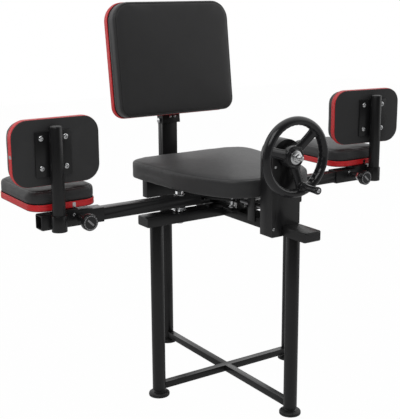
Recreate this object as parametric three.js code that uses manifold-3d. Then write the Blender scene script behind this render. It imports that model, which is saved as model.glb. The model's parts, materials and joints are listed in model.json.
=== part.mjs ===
// A leg stretching machine. Lengths are millimetres: X to the sitter's left, Y to the backrest, Z up.
// Names with left or right say how the machine is seen from the front, where left is -X.
// The handwheel turns a lead screw, whose carriage swings both arms through a pair of links.

import * as THREE from "three";
import Module from "manifold-3d";
import { mergeVertices } from "three/addons/utils/BufferGeometryUtils.js";

const wasm = await Module();
wasm.setup();

// Values that every piece shares
const gap = 0.3; // clearance between a piece and the neighbour it rests on, fits in or turns in
const overrun = 5; // how far a cutting tool runs past what it cuts
const largeSides = 24; // flat sides of a large round
const smallSides = 12; // flat sides of a small round
const hexSides = 6;
const halfTurn = Math.PI;
const quarterTurn = Math.PI / 2;
const fullTurn = 2 * Math.PI;

// Beams: rectangular tubes on top of the legs
const beamWidth = 50;
const beamHeight = 25;
const beamWall = 2;
const beamTop = 501.2;
const longBeamFront = -358;
const longBeamBack = 340;
const leftBeamReach = 259.4;
const rightBeamReach = 243;
const beamBottom = beamTop - beamHeight;
const beamHalf = beamWidth / 2;

// Legs, feet and the braces near the floor
const legRadius = 17.5;
const legWall = 1.5;
const legBottom = 17;
const legInsert = 25;
const sideLegX = 221.2;
const frontLegInset = 72.3; // from the long beam's front end to the leg's axis
const rearLegInset = 24.4;
const footRadius = 28;
const footRim = 7;
const footHeight = 10;
const footCrown = 24;
const footNeck = 13.5;
const footStem = 5;
const footStemLength = 42;
const braceSize = 18;
const braceWall = 1.5;

// Seat
const seatBottom = 566;
const seatBoardThickness = 12;
const seatTop = 621;
const seatCrown = 7;
const seatDrawIn = 5;
const seatFront = -222;
const seatBack = 212;
const seatHalfWidth = 197;
const seatRingPoints = 56;
// share of the seat's length from the front, share of its half width
const seatOutlineShares = [
  [1, 0], [1, 0.55], [0.985, 0.8], [0.94, 0.945], [0.87, 1], [0.66, 0.975], [0.447, 0.935],
  [0.23, 0.82], [0.08, 0.65], [0.02, 0.47], [0, 0.25], [0, 0],
];
const bearerHalfLength = 146;
const bearerFront = 175;
const bearerBack = 200;
const saddleFront = -165;
const saddleBack = -136;
const saddleBottom = 488;
const saddleFlangeHalf = 60;
const sheetThickness = 4;

// Cushions: shares of a side's height with shares of its draw-in, and of the span for the crown
const sideHeightShares = [0, 0.12, 0.4, 0.75, 0.93, 1];
const sideInsetShares = [1, 0.4, 0, 0.15, 0.9, 2];
const crownSpanShares = [0.88, 0.68, 0.42];

// Backrest
const backrestLean = THREE.MathUtils.degToRad(7.1);
const backrestWidth = 385;
const backrestHeight = 321;
const backrestTopCorner = 54;
const backrestBottomCorner = 34;
const backrestPadThickness = 43;
const backrestBoardThickness = 18;
const backrestCrown = 6;
const backrestDrawIn = 4;
const backrestRingPoints = 48;
const postInset = 28; // from the long beam's rear end to the post
const postDepth = 25;
const postTop = 704;
const tiltBoltInset = 8; // from the post's front to the bolt's axis
const tiltBoltDrop = 9; // from the post's top to the bolt's axis
const backrestReach = 65.2; // from the post's front to the lower front edge of the cushion
const backrestRise = 15.6; // from the post's top to the same edge
const tiltBoltRadius = 4;
const tiltBoltHeadRadius = 8;
const tiltBoltHeadLength = 5;
const bracketReachFront = 17;
const bracketReachBack = 13;
const bracketReachDown = 9;
const bracketDepth = 28;
const bracketRise = 95;
const bracketTaper = 22;
const bracketFlangeHalf = 45;

// Column with the drive inside it
const columnX = -16;
const columnHalfWidth = 43;
const columnInset = 81; // from the long beam's front end to the column
const columnDepth = 49;
const columnWall = 3;
const columnArchZ = 674;
const wheelZ = 677;
const screwZ = 529;
const shaftRadius = 9;
const screwRadius = 6;
const bossWall = 5;
const bossLength = 9;
const sprocketRadius = 18;
const sprocketThickness = 6;
const sprocketY = -253;
const sprocketTeeth = 12;
const toothDepth = 2.5;
const chainThickness = 5;
const chainArcSteps = 8;
const screwFront = -262;
const screwBack = 52;
const bearingFront = 32;
const bearingBack = 50;
const bearingHalf = 17;
const bearingTop = 545;

// Handwheel and grip
const wheelRingRadius = 88;
const wheelRimHalfWidth = 11.5;
const wheelRimHalfDepth = 14.5;
const wheelRimY = -308;
const wheelRimSteps = 40;
const wheelSectionSteps = 10;
const hubRadius = 28;
const hubFront = -309.7;
const hubBack = -280;
const spokeY = -297;
const spokeHubRadius = 13;
const spokeRimRadius = 11;
const spokeFlatShare = 0.5;
const spokeSides = 10;
const spokeAngles = [45, 165, 285].map(THREE.MathUtils.degToRad);
const washerRadius = 17;
const washerThickness = 2.5;
const shaftNutRadius = 12;
const shaftNutLength = 9;
const shaftEndRadius = 6;
const shaftEndY = -334;
const gripRadiusFromHub = 75.6;
const gripFront = -374;
const gripBack = -322;
const gripBossRadius = 12;
const spindleRadius = 4;
const spindleHeadRadius = 6;
const spindleHeadLength = 3;
const gripEndRadius = 9.5;
const gripWaistRadius = 8;
const gripBaseRadius = 12;
const gripWaistShare = 0.45;
const gripFlareShare = 0.9;

// Carriage on the long beam and the links to the arms
const carriageThickness = 6;
const carriageHalfWidth = 46;
const carriageHalfLength = 20;
const carriageY = -72;
const nutHalfWidth = 8.5;
const nutTop = 540;
const nutLength = 10; // the nut stands at the carriage's front, clear of the links' pins
const sliderPinX = 33;
const sliderPinRadius = 6;
const sliderCollarRadius = 9;
const sliderCollarHeight = 4.5;
const sliderHeadRadius = 7;
const sliderHeadHeight = 3.5;
const linkThickness = 6;
const linkHalfWidth = 7;
const linkPinLever = 75;
const linkPinRadius = 4.5;
const linkPinHeadRadius = 8;
const linkPinHeadHeight = 3.5;

// Swinging arms
const pivotX = 150.6;
const pivotBoltRadius = 6;
const pivotHeadRadius = 10;
const pivotHeadHeight = 8;
const pivotWasherRadius = 15;
const pivotWasherHeight = 2.5;
const pivotNutHeight = 7;
const spacerRadius = 16;
const spacerGroove = 1.5;
const spacerHeight = 12.6;
const spacerCount = 3;
const armSize = 30;
const armWall = 2.5;
const armInner = -86.6;
const slotInner = -58;
const indexHoleRadius = 4.5;
const indexHolePitch = 25;
const indexHoleFirst = -2;
const indexHoleLast = 2;

// Sliding sleeves with the socket of the post and the pull knob's barrel
const postU = 359.3; // how far from the pivot the post stands
const sleeveSize = 36;
const sleeveLength = 164;
const sleevePastPost = 34.7; // how far the sleeve runs on past the post's axis
const armInSleeveEnd = 14; // how far the arm ends inside the sleeve
const socketRadius = 18.75;
const socketTop = 549;
const socketBottom = 510;
const postY = -37;
const padPostRadius = 16;
const padPostWall = 2;
const padPostTop = 759;
const socketWebHalf = 11;
const socketWebShare = 0.35;
const padBarHalf = 25;
const padBarBack = 160;
const padBarThickness = 7;
const knobToPost = 63.8;
const barrelRadius = 9;
const barrelFront = -42;
const barrelWall = 3;
const chamberRadius = 7.3;
const chamberBack = -20;
const knobPinRadius = 4;
const knobFlangeRadius = 7;
const knobFlangeBack = -21;
const knobFlangeFront = -24;
const springLength = 6;
const springRadius = 6.5;
const springWall = 1.5;
const knobNeckRadius = 10;
const knobHeadRadius = 20.5;
const knobHeadBack = -60;
const knobFace = -75;
const knobRound = 2.5;

// Pads on the arms: the flat one is the upright one turned a quarter, and a little larger
const padLong = 225;
const padShort = 159;
const uprightCorner = 40;
const flatCorner = 40;
const padBoardThickness = 17;
const padCushionThickness = 38;
const padCrown = 5;
const padDrawIn = 4;
const padRingPoints = 40;
const leftSetIn = 9.3; // from each post's axis to the middle of its upright pad
const rightSetIn = 17.5;
const uprightZ = 699;
const uprightBackY = -17.6;
const flatSetIn = 33.3; // from the post's axis to the pad's middle
const flatWidth = 176;
const flatLength = 234;
const flatFrontY = -11;
const mountHalfWidth = 46;
const mountBottom = 642;
const mountTop = 749;
const leftSwivel = 0; // how far each upright pad is turned on its post as it stands
const rightSwivel = THREE.MathUtils.degToRad(-8);

// Places that follow from the sizes above
const armCentreZ = beamTop + gap + spacerHeight + gap + armSize / 2;
const armBottom = armCentreZ - armSize / 2;
const armTop = armCentreZ + armSize / 2;
const armHalf = armSize / 2;
const sleeveHalf = sleeveSize / 2;
const sleeveTop = armCentreZ + sleeveHalf;
const sleeveBottom = armCentreZ - sleeveHalf;
const carriageBottom = beamTop + gap;
const carriageTop = carriageBottom + carriageThickness;
const linkBottom = armCentreZ - linkThickness / 2;
const linkTop = armCentreZ + linkThickness / 2;
const linkPinX = pivotX - linkPinLever;
const sleeveOuter = postU + sleevePastPost;
const sleeveInner = sleeveOuter - sleeveLength;
const armOuter = sleeveOuter - armInSleeveEnd;
const knobU = postU - knobToPost;
const flatU = postU - flatSetIn;
const frontLegY = longBeamFront + frontLegInset;
const rearLegY = longBeamBack - rearLegInset;
const postBack = longBeamBack - postInset;
const postFront = postBack - postDepth;
const columnFront = longBeamFront + columnInset;
const columnBack = columnFront + columnDepth;
const tiltBoltY = postFront + tiltBoltInset;
const tiltBoltZ = postTop - tiltBoltDrop;
const backrestFrontY = postFront - backrestReach;
const backrestBottomZ = postTop + backrestRise;

const finishes = {
  paint: { color: 0x151515, roughness: 0.3, metalness: 0.2 },
  chrome: { color: 0xd6d8da, roughness: 0.15, metalness: 1 },
  steel: { color: 0x8b8d8f, roughness: 0.4, metalness: 1 },
  vinyl: { color: 0x242425, roughness: 0.55, metalness: 0 },
  board: { color: 0x1b1b1b, roughness: 0.6, metalness: 0 },
  trim: { color: 0xd5262b, roughness: 0.4, metalness: 0 },
  plastic: { color: 0x191919, roughness: 0.35, metalness: 0 },
  rubber: { color: 0x141414, roughness: 0.8, metalness: 0 },
};

// Solids: closed meshes with merged corners, joined and cut as solids

function weld(geometry) {
  const bare = geometry.index ? geometry.toNonIndexed() : geometry.clone();
  bare.deleteAttribute("normal");
  bare.deleteAttribute("uv");
  const merged = mergeVertices(bare);
  const corners = merged.index.array;
  const kept = [];
  for (let i = 0; i < corners.length; i += 3) {
    const [a, b, c] = corners.slice(i, i + 3);
    if (a !== b && b !== c && c !== a) kept.push(a, b, c);
  }
  merged.setIndex(kept);
  return merged;
}

function signedVolume(geometry) {
  const place = geometry.attributes.position;
  const corners = geometry.index.array;
  const [a, b, c] = [new THREE.Vector3(), new THREE.Vector3(), new THREE.Vector3()];
  let volume = 0;
  for (let i = 0; i < corners.length; i += 3) {
    a.fromBufferAttribute(place, corners[i]);
    b.fromBufferAttribute(place, corners[i + 1]);
    c.fromBufferAttribute(place, corners[i + 2]);
    volume += a.dot(b.cross(c));
  }
  return volume;
}

function faceOutward(geometry) {
  const welded = weld(geometry);
  if (signedVolume(welded) < 0) welded.setIndex(Array.from(welded.index.array).reverse());
  return welded;
}

function toSolid(geometry) {
  const closed = faceOutward(geometry);
  return new wasm.Manifold(new wasm.Mesh({
    numProp: 3,
    vertProperties: new Float32Array(closed.attributes.position.array),
    triVerts: new Uint32Array(closed.index.array),
  }));
}

function toGeometry(solid) {
  const mesh = solid.getMesh();
  const geometry = new THREE.BufferGeometry();
  geometry.setAttribute("position", new THREE.BufferAttribute(mesh.vertProperties, 3));
  geometry.setIndex(Array.from(mesh.triVerts));
  return geometry;
}

function join(...pieces) {
  return toGeometry(pieces.map(toSolid).reduce((whole, piece) => whole.add(piece)));
}

function cut(whole, ...tools) {
  return toGeometry(tools.map(toSolid).reduce((left, tool) => left.subtract(tool), toSolid(whole)));
}

// Plain shapes, placed by the span they fill along each axis

const middle = (span) => (span[0] + span[1]) / 2;
const extent = (span) => Math.abs(span[1] - span[0]);
const about = (centre, half) => [centre - half, centre + half];

function block(x, y, z) {
  const box = new THREE.BoxGeometry(extent(x), extent(y), extent(z));
  return box.translate(middle(x), middle(y), middle(z));
}

function rodZ(radius, x, y, z, sides = smallSides) {
  const rod = new THREE.CylinderGeometry(radius, radius, extent(z), sides);
  return rod.rotateX(quarterTurn).translate(x, y, middle(z));
}

function rodY(radius, x, y, z, sides = smallSides) {
  const rod = new THREE.CylinderGeometry(radius, radius, extent(y), sides);
  return rod.translate(x, middle(y), z);
}

function rodX(radius, x, y, z, sides = smallSides) {
  const rod = new THREE.CylinderGeometry(radius, radius, extent(x), sides);
  return rod.rotateZ(quarterTurn).translate(middle(x), y, z);
}

// A solid turned about Y from [radius, y] pairs, whose profile ends on the axis
function turnedY(profile, sides = largeSides) {
  const points = profile.map(([radius, along]) => new THREE.Vector2(radius, along));
  return faceOutward(new THREE.LatheGeometry(points, sides));
}

// The same for a profile that closes on itself, as a tube's does
function ringY(profile, sides = largeSides) {
  return turnedY([...profile, profile[0]], sides);
}

// The same two about Z, from [radius, z] pairs
function turnedZ(profile, sides = largeSides) {
  return turnedY(profile, sides).rotateX(quarterTurn);
}

function ringZ(profile, sides = largeSides) {
  return ringY(profile, sides).rotateX(quarterTurn);
}

function onCircle(radius, angle) {
  return new THREE.Vector2(radius, 0).rotateAround(new THREE.Vector2(), angle);
}

// A flat outline in X and Z, thickened along Y
function slabY(shape, y, curveSteps = smallSides) {
  const slab = new THREE.ExtrudeGeometry(shape, {
    depth: extent(y), bevelEnabled: false, curveSegments: curveSteps,
  });
  return slab.rotateX(quarterTurn).translate(0, Math.max(...y), 0);
}

// A flat outline in Y and Z, thickened along X
function slabX(shape, x) {
  const slab = new THREE.ExtrudeGeometry(shape, { depth: extent(x), bevelEnabled: false });
  const turn = new THREE.Matrix4().makeBasis(
    new THREE.Vector3(0, 1, 0), new THREE.Vector3(0, 0, 1), new THREE.Vector3(1, 0, 0),
  );
  return slab.applyMatrix4(turn).translate(Math.min(...x), 0, 0);
}

function slabZ(points, z) {
  const slab = new THREE.ExtrudeGeometry(new THREE.Shape(points), {
    depth: extent(z), bevelEnabled: false,
  });
  return slab.translate(0, 0, Math.min(...z));
}

// A rectangular tube open at both ends, with its long side along one axis
function tube(x, y, z, wall, axis) {
  const spans = [x, y, z];
  const inside = spans.map((span, index) => (
    index === axis
      ? [Math.min(...span) - overrun, Math.max(...span) + overrun]
      : [Math.min(...span) + wall, Math.max(...span) - wall]
  ));
  return cut(block(...spans), block(...inside));
}

const alongX = 0;
const alongY = 1;
const alongZ = 2;

// A rectangle with round corners, centred on the origin, as evenly spaced points.
// The two corners on the +Y side have the first radius, and the other two the second.
function roundedOutline(width, height, corner, lowCorner, count) {
  const [w, h] = [width / 2, height / 2];
  const shape = new THREE.Shape();
  shape.absarc(w - corner, h - corner, corner, 0, quarterTurn);
  shape.absarc(corner - w, h - corner, corner, quarterTurn, halfTurn);
  shape.absarc(lowCorner - w, lowCorner - h, lowCorner, halfTurn, halfTurn + quarterTurn);
  shape.absarc(w - lowCorner, lowCorner - h, lowCorner, halfTurn + quarterTurn, fullTurn);
  shape.closePath();
  return shape.getSpacedPoints(count).slice(0, count);
}

function seatOutline() {
  const length = seatBack - seatFront;
  const place = ([lengthShare, widthShare], side) => new THREE.Vector3(
    side * widthShare * seatHalfWidth, seatFront + lengthShare * length, 0,
  );
  const right = seatOutlineShares.map((shares) => place(shares, 1));
  const left = seatOutlineShares.slice(1, -1).reverse().map((shares) => place(shares, -1));
  const curve = new THREE.CatmullRomCurve3([...right, ...left], true);
  const points = curve.getSpacedPoints(seatRingPoints).slice(0, seatRingPoints);
  return points.map((point) => new THREE.Vector2(point.x, point.y));
}

// A cushion over an outline: drawn-in sides that swell between, and a crown that rises to the middle
function cushion(outline, bottom, top, crown, drawIn) {
  const centre = outline.reduce((sum, point) => sum.add(point), new THREE.Vector2());
  centre.divideScalar(outline.length);
  const halfX = Math.max(...outline.map((point) => Math.abs(point.x - centre.x)));
  const halfY = Math.max(...outline.map((point) => Math.abs(point.y - centre.y)));
  const sideHeight = top - bottom - crown;
  const rings = sideHeightShares.map((share, index) => ({
    shareX: 1 - sideInsetShares[index] * drawIn / halfX,
    shareY: 1 - sideInsetShares[index] * drawIn / halfY,
    z: bottom + share * sideHeight,
  }));
  const edge = rings[rings.length - 1];
  for (const share of crownSpanShares) {
    rings.push({
      shareX: edge.shareX * share,
      shareY: edge.shareY * share,
      z: edge.z + crown * (1 - share ** 2),
    });
  }
  const places = [];
  for (const { shareX, shareY, z } of rings) {
    for (const point of outline) {
      places.push(centre.x + (point.x - centre.x) * shareX, centre.y + (point.y - centre.y) * shareY, z);
    }
  }
  const count = outline.length;
  const bottomCentre = rings.length * count;
  const topCentre = bottomCentre + 1;
  places.push(centre.x, centre.y, bottom, centre.x, centre.y, top);
  const corners = [];
  const lastRing = (rings.length - 1) * count;
  for (let i = 0; i < count; i += 1) {
    const next = (i + 1) % count;
    corners.push(bottomCentre, next, i, topCentre, lastRing + i, lastRing + next);
    for (let ring = 0; ring < rings.length - 1; ring += 1) {
      const low = ring * count;
      const high = low + count;
      corners.push(low + i, low + next, high + next, low + i, high + next, high + i);
    }
  }
  const geometry = new THREE.BufferGeometry();
  geometry.setAttribute("position", new THREE.Float32BufferAttribute(places, 3));
  geometry.setIndex(corners);
  return faceOutward(geometry);
}

const machine = new THREE.Group();

function add(name, geometry, finish, parent = machine) {
  const smooth = geometry.clone();
  smooth.computeVertexNormals();
  const mesh = new THREE.Mesh(smooth, new THREE.MeshStandardMaterial(finishes[finish]));
  mesh.name = name;
  parent.add(mesh);
  return mesh;
}

// Frame

function leg() {
  return ringZ([
    [footStem + gap, legBottom], [legRadius, legBottom], [legRadius, beamBottom],
    [legRadius - legWall, beamBottom], [legRadius - legWall, legBottom + legInsert],
    [footStem + gap, legBottom + legInsert],
  ]);
}

function foot() {
  const neckTop = legBottom - gap;
  return turnedZ([
    [0, 0], [footRadius, 0], [footRadius, footRim], [footCrown, footHeight], [footNeck, footHeight],
    [footNeck, neckTop], [footStem, neckTop], [footStem, neckTop + footStemLength],
    [0, neckTop + footStemLength],
  ]);
}

function addLegs() {
  const places = {
    left: [-sideLegX, 0], right: [sideLegX, 0], rear: [0, rearLegY], front: [0, frontLegY],
  };
  for (const [name, [x, y]] of Object.entries(places)) {
    const corner = new THREE.Group();
    corner.position.set(x, y, 0);
    add(`leg_${name}`, leg(), "paint", corner);
    add(`foot_${name}`, foot(), "rubber", corner);
    machine.add(corner);
  }
}

function legRoom(x, y) {
  return rodZ(legRadius + gap, x, y, [0, beamBottom], largeSides);
}

function addBraces() {
  const half = braceSize / 2;
  const height = [legBottom, legBottom + braceSize];
  const side = tube([-sideLegX, sideLegX], [-half, half], height, braceWall, alongX);
  add("side_brace", cut(side, legRoom(-sideLegX, 0), legRoom(sideLegX, 0)), "paint");
  const front = tube([-half, half], [frontLegY, -half], height, braceWall, alongY);
  add("front_brace", cut(front, legRoom(0, frontLegY)), "paint");
  const rear = tube([-half, half], [half, rearLegY], height, braceWall, alongY);
  add("rear_brace", cut(rear, legRoom(0, rearLegY)), "paint");
}

function addBeams() {
  const height = [beamBottom, beamTop];
  const width = [-beamHalf, beamHalf];
  const long = tube(width, [longBeamFront, longBeamBack], height, beamWall, alongY);
  add("long_beam", long, "paint");
  for (const [name, side, beamEnd] of [["left", -1, leftBeamReach], ["right", 1, rightBeamReach]]) {
    const bore = rodZ(pivotBoltRadius + gap, side * pivotX, 0, [beamBottom - overrun, beamTop + overrun]);
    const beam = tube([side * beamHalf, side * beamEnd], width, height, beamWall, alongX);
    add(`${name}_cross_beam`, cut(beam, bore), "paint");
  }
}

// Seat

function addSeat() {
  const outline = seatOutline();
  const boardTop = seatBottom + seatBoardThickness;
  add("seat_board", slabZ(outline, [seatBottom, boardTop]), "board");
  add("seat_cushion", cushion(outline, boardTop + gap, seatTop, seatCrown, seatDrawIn), "vinyl");
}

function rearBearer() {
  const inner = bearerHalfLength - beamWall;
  return cut(
    block([-bearerHalfLength, bearerHalfLength], [bearerFront, bearerBack], [beamTop, seatBottom]),
    block(
      [-inner, inner],
      [bearerFront + beamWall, bearerBack - beamWall],
      [beamTop - overrun, seatBottom - beamWall],
    ),
  );
}

function frontSaddle() {
  const depth = [saddleFront, saddleBack];
  const inner = beamHalf + gap;
  const outer = inner + sheetThickness;
  return cut(
    join(
      block([-outer, outer], depth, [saddleBottom, seatBottom]),
      block([-saddleFlangeHalf, saddleFlangeHalf], depth, [seatBottom - sheetThickness, seatBottom]),
    ),
    block([-inner, inner], [saddleFront - overrun, saddleBack + overrun],
      [saddleBottom - overrun, seatBottom - sheetThickness]),
  );
}

// Backrest

function tiltBolt() {
  const cheekOuter = beamHalf + gap + sheetThickness;
  const seat = cheekOuter + gap;
  const end = seat + tiltBoltHeadLength;
  return join(
    rodX(tiltBoltRadius, [-end, end], tiltBoltY, tiltBoltZ),
    rodX(tiltBoltHeadRadius, [-end, -seat], tiltBoltY, tiltBoltZ, hexSides),
    rodX(tiltBoltHeadRadius, [seat, end], tiltBoltY, tiltBoltZ, hexSides),
  );
}

function backrestPost() {
  const post = tube([-beamHalf, beamHalf], [postFront, postBack], [beamTop, postTop], beamWall, alongZ);
  const reach = beamHalf + overrun;
  return cut(post, rodX(tiltBoltRadius + gap, [-reach, reach], tiltBoltY, tiltBoltZ));
}

// The bracket stands in the leaning frame of the board, whose origin is the lower front edge
function backrestBracket() {
  const down = tiltBoltZ - backrestBottomZ;
  const back = tiltBoltY - backrestFrontY;
  const boltY = back * Math.cos(backrestLean) - down * Math.sin(backrestLean);
  const boltZ = back * Math.sin(backrestLean) + down * Math.cos(backrestLean);
  const face = backrestPadThickness + backrestBoardThickness + gap;
  const outline = new THREE.Shape([
    new THREE.Vector2(boltY - bracketReachFront, boltZ - bracketReachDown),
    new THREE.Vector2(boltY + bracketReachBack, boltZ - bracketReachDown),
    new THREE.Vector2(face + bracketDepth, bracketTaper),
    new THREE.Vector2(face + bracketDepth, bracketRise - bracketTaper),
    new THREE.Vector2(face, bracketRise),
    new THREE.Vector2(face, -gap),
    new THREE.Vector2(boltY - bracketReachFront, -gap),
  ]);
  const inner = beamHalf + gap;
  const outer = inner + sheetThickness;
  const front = boltY - bracketReachFront;
  const web = block([-outer, outer], [front, front + sheetThickness], [boltZ - bracketReachDown, -gap]);
  const plate = block(
    [-bracketFlangeHalf, bracketFlangeHalf],
    [face, face + sheetThickness],
    [bracketTaper, bracketRise],
  );
  const bore = rodX(tiltBoltRadius + gap, [-outer - overrun, outer + overrun], boltY, boltZ);
  const flanges = join(slabX(outline, [-outer, -inner]), slabX(outline, [inner, outer]));
  return cut(join(plate, web, flanges), bore);
}

function addBackrest() {
  add("backrest_post", backrestPost(), "paint");
  add("backrest_tilt_bolt", tiltBolt(), "chrome");
  const leaning = new THREE.Group();
  leaning.position.set(0, backrestFrontY, backrestBottomZ);
  leaning.rotation.x = -backrestLean;
  machine.add(leaning);
  add("backrest_bracket", backrestBracket(), "paint", leaning);
  const outline = roundedOutline(
    backrestWidth, backrestHeight, backrestTopCorner, backrestBottomCorner, backrestRingPoints,
  );
  const boardBack = backrestPadThickness + backrestBoardThickness;
  const board = add("backrest_board", slabZ(outline, [0, backrestBoardThickness]), "trim", leaning);
  const pad = cushion(outline, gap, backrestPadThickness, backrestCrown, backrestDrawIn);
  const cushionMesh = add("backrest_cushion", pad, "vinyl", leaning);
  for (const [mesh, y] of [[board, boardBack], [cushionMesh, backrestPadThickness]]) {
    mesh.rotation.x = quarterTurn;
    mesh.position.set(0, y, backrestHeight / 2);
  }
}

// Column and drive

function columnOutline(inset) {
  const left = columnX - columnHalfWidth + inset;
  const right = columnX + columnHalfWidth - inset;
  const notch = -beamHalf - gap - inset;
  const shape = new THREE.Shape();
  shape.moveTo(left, beamBottom + inset);
  shape.lineTo(notch, beamBottom + inset);
  shape.lineTo(notch, beamTop + inset);
  shape.lineTo(right, beamTop + inset);
  shape.absarc(columnX, columnArchZ, columnHalfWidth - inset, 0, halfTurn);
  shape.closePath();
  return shape;
}

function columnCase() {
  const coverBack = columnFront + columnWall;
  const wallFront = columnBack - columnWall;
  const shell = cut(
    slabY(columnOutline(0), [coverBack, columnBack]),
    slabY(columnOutline(columnWall), [coverBack - overrun, wallFront]),
  );
  const boss = [wallFront - bossLength, wallFront + columnWall / 2];
  return cut(
    join(
      shell,
      rodY(shaftRadius + bossWall, columnX, boss, wheelZ, largeSides),
      rodY(screwRadius + bossWall, columnX, boss, screwZ, largeSides),
    ),
    rodY(shaftRadius + gap, columnX, [boss[0] - overrun, wallFront], wheelZ, largeSides),
    rodY(screwRadius + gap, columnX, [boss[0] - overrun, columnBack + overrun], screwZ, largeSides),
  );
}

function columnCover() {
  const depth = [columnFront, columnFront + columnWall];
  const bore = [columnFront - overrun, columnFront + columnWall + overrun];
  return cut(slabY(columnOutline(0), depth),
    rodY(shaftRadius + gap, columnX, bore, wheelZ, largeSides));
}

function sprocket(boreRadius) {
  const points = [];
  const step = fullTurn / sprocketTeeth;
  for (let tooth = 0; tooth < sprocketTeeth; tooth += 1) {
    const angle = tooth * step;
    points.push(onCircle(sprocketRadius, angle), onCircle(sprocketRadius - toothDepth, angle + step / 2));
  }
  const half = sprocketThickness / 2;
  const disc = slabY(new THREE.Shape(points), [-half, half]);
  return cut(disc, rodY(boreRadius + gap, 0, [-half - overrun, half + overrun], 0, largeSides));
}

// The chain is a band that runs round both sprockets
function chain() {
  const loop = (radius) => {
    const shape = new THREE.Shape();
    shape.absarc(columnX, wheelZ, radius, 0, halfTurn);
    shape.absarc(columnX, screwZ, radius, halfTurn, fullTurn);
    shape.closePath();
    return shape;
  };
  const half = sprocketThickness / 2;
  const inside = sprocketRadius + gap;
  return cut(
    slabY(loop(inside + chainThickness), about(sprocketY, half), chainArcSteps),
    slabY(loop(inside), about(sprocketY, half + overrun), chainArcSteps),
  );
}

function handwheelShaft() {
  const seat = hubFront - gap;
  const back = columnBack - columnWall - gap;
  return join(
    rodY(shaftRadius, columnX, [seat, back], wheelZ, largeSides),
    rodY(shaftEndRadius, columnX, [shaftEndY, seat + overrun], wheelZ),
    rodY(washerRadius, columnX, [seat - washerThickness, seat], wheelZ, largeSides),
    rodY(shaftNutRadius, columnX, [seat - washerThickness - shaftNutLength, seat], wheelZ, hexSides),
  );
}

function spoke(angle) {
  const direction = new THREE.Vector3(Math.cos(angle), 0, Math.sin(angle));
  const start = direction.clone().multiplyScalar(hubRadius / 2).setY(spokeY);
  const end = direction.clone().multiplyScalar(wheelRingRadius).setY(wheelRimY);
  const bar = new THREE.CylinderGeometry(
    spokeRimRadius, spokeHubRadius, start.distanceTo(end), spokeSides,
  );
  bar.scale(1, 1, spokeFlatShare);
  const up = end.clone().sub(start).normalize();
  const across = new THREE.Vector3().crossVectors(up, new THREE.Vector3(0, 1, 0)).normalize();
  const through = new THREE.Vector3().crossVectors(across, up);
  bar.applyMatrix4(new THREE.Matrix4().makeBasis(across, up, through));
  const centre = start.add(end).divideScalar(2);
  return bar.translate(centre.x, centre.y, centre.z);
}

function gripPlace() {
  const angle = spokeAngles[spokeAngles.length - 1];
  return [gripRadiusFromHub * Math.cos(angle), gripRadiusFromHub * Math.sin(angle)];
}

// The wheel stands in its own frame, with its axis through the origin along Y
function handwheel() {
  const section = [];
  for (let step = 0; step < wheelSectionSteps; step += 1) {
    const angle = fullTurn * step / wheelSectionSteps;
    section.push([
      wheelRingRadius + wheelRimHalfWidth * Math.cos(angle), wheelRimHalfDepth * Math.sin(angle),
    ]);
  }
  const rim = ringY(section, wheelRimSteps).translate(0, wheelRimY, 0);
  const [gripX, gripZ] = gripPlace();
  const headBack = gripFront + spindleHeadLength;
  return cut(
    join(
      rim,
      rodY(hubRadius, 0, [hubFront, hubBack], 0, largeSides),
      ...spokeAngles.map(spoke),
      rodY(gripBossRadius, gripX, [gripBack + gap, wheelRimY], gripZ),
      rodY(spindleRadius, gripX, [gripFront, wheelRimY], gripZ),
      rodY(spindleHeadRadius, gripX, [gripFront, headBack], gripZ),
    ),
    rodY(shaftRadius + gap, 0, [hubFront - overrun, hubBack + overrun], 0, largeSides),
  );
}

function grip() {
  const headRoom = gripFront + spindleHeadLength + gap;
  const bore = spindleRadius + gap;
  const length = gripBack - gripFront;
  return ringY([
    [spindleHeadRadius + gap, gripFront],
    [gripEndRadius, gripFront],
    [gripWaistRadius, gripFront + gripWaistShare * length],
    [gripWaistRadius, gripFront + gripFlareShare * length],
    [gripBaseRadius, gripBack],
    [bore, gripBack],
    [bore, headRoom],
    [spindleHeadRadius + gap, headRoom],
  ]);
}

function leadScrew() {
  return rodY(screwRadius, columnX, [screwFront, screwBack], screwZ, largeSides);
}

function screwBearing() {
  const bore = [bearingFront - overrun, bearingBack + overrun];
  return cut(
    block(about(columnX, bearingHalf), [bearingFront, bearingBack], [beamTop, bearingTop]),
    rodY(screwRadius + gap, columnX, bore, screwZ, largeSides),
  );
}

function carriage() {
  const length = about(carriageY, carriageHalfLength);
  const nut = [length[0], length[0] + nutLength];
  return cut(
    join(
      block([-carriageHalfWidth, carriageHalfWidth], length, [carriageBottom, carriageTop]),
      block(about(columnX, nutHalfWidth), nut, [carriageBottom, nutTop]),
    ),
    rodY(screwRadius + gap, columnX, about(carriageY, carriageHalfLength + overrun), screwZ, largeSides),
  );
}

function addColumn() {
  add("column_case", columnCase(), "paint");
  add("column_cover", columnCover(), "paint");
  add("screw_bearing", screwBearing(), "paint");
  add("drive_chain", chain(), "steel");
  add("handwheel_shaft", handwheelShaft(), "chrome");
  add("lead_screw", leadScrew(), "steel");
  add("slider_carriage", carriage(), "paint");
  const wheel = add("handwheel", handwheel(), "plastic");
  wheel.position.set(columnX, 0, wheelZ);
  const [gripX, gripZ] = gripPlace();
  const handle = add("handwheel_grip", grip(), "plastic");
  handle.position.set(columnX + gripX, 0, wheelZ + gripZ);
  const upper = add("upper_sprocket", sprocket(shaftRadius), "steel");
  upper.position.set(columnX, sprocketY, wheelZ);
  const lower = add("lower_sprocket", sprocket(screwRadius), "steel");
  lower.position.set(columnX, sprocketY, screwZ);
}

// Arms: each side is built outward from its pivot, and side is -1 on the left and 1 on the right

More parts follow.
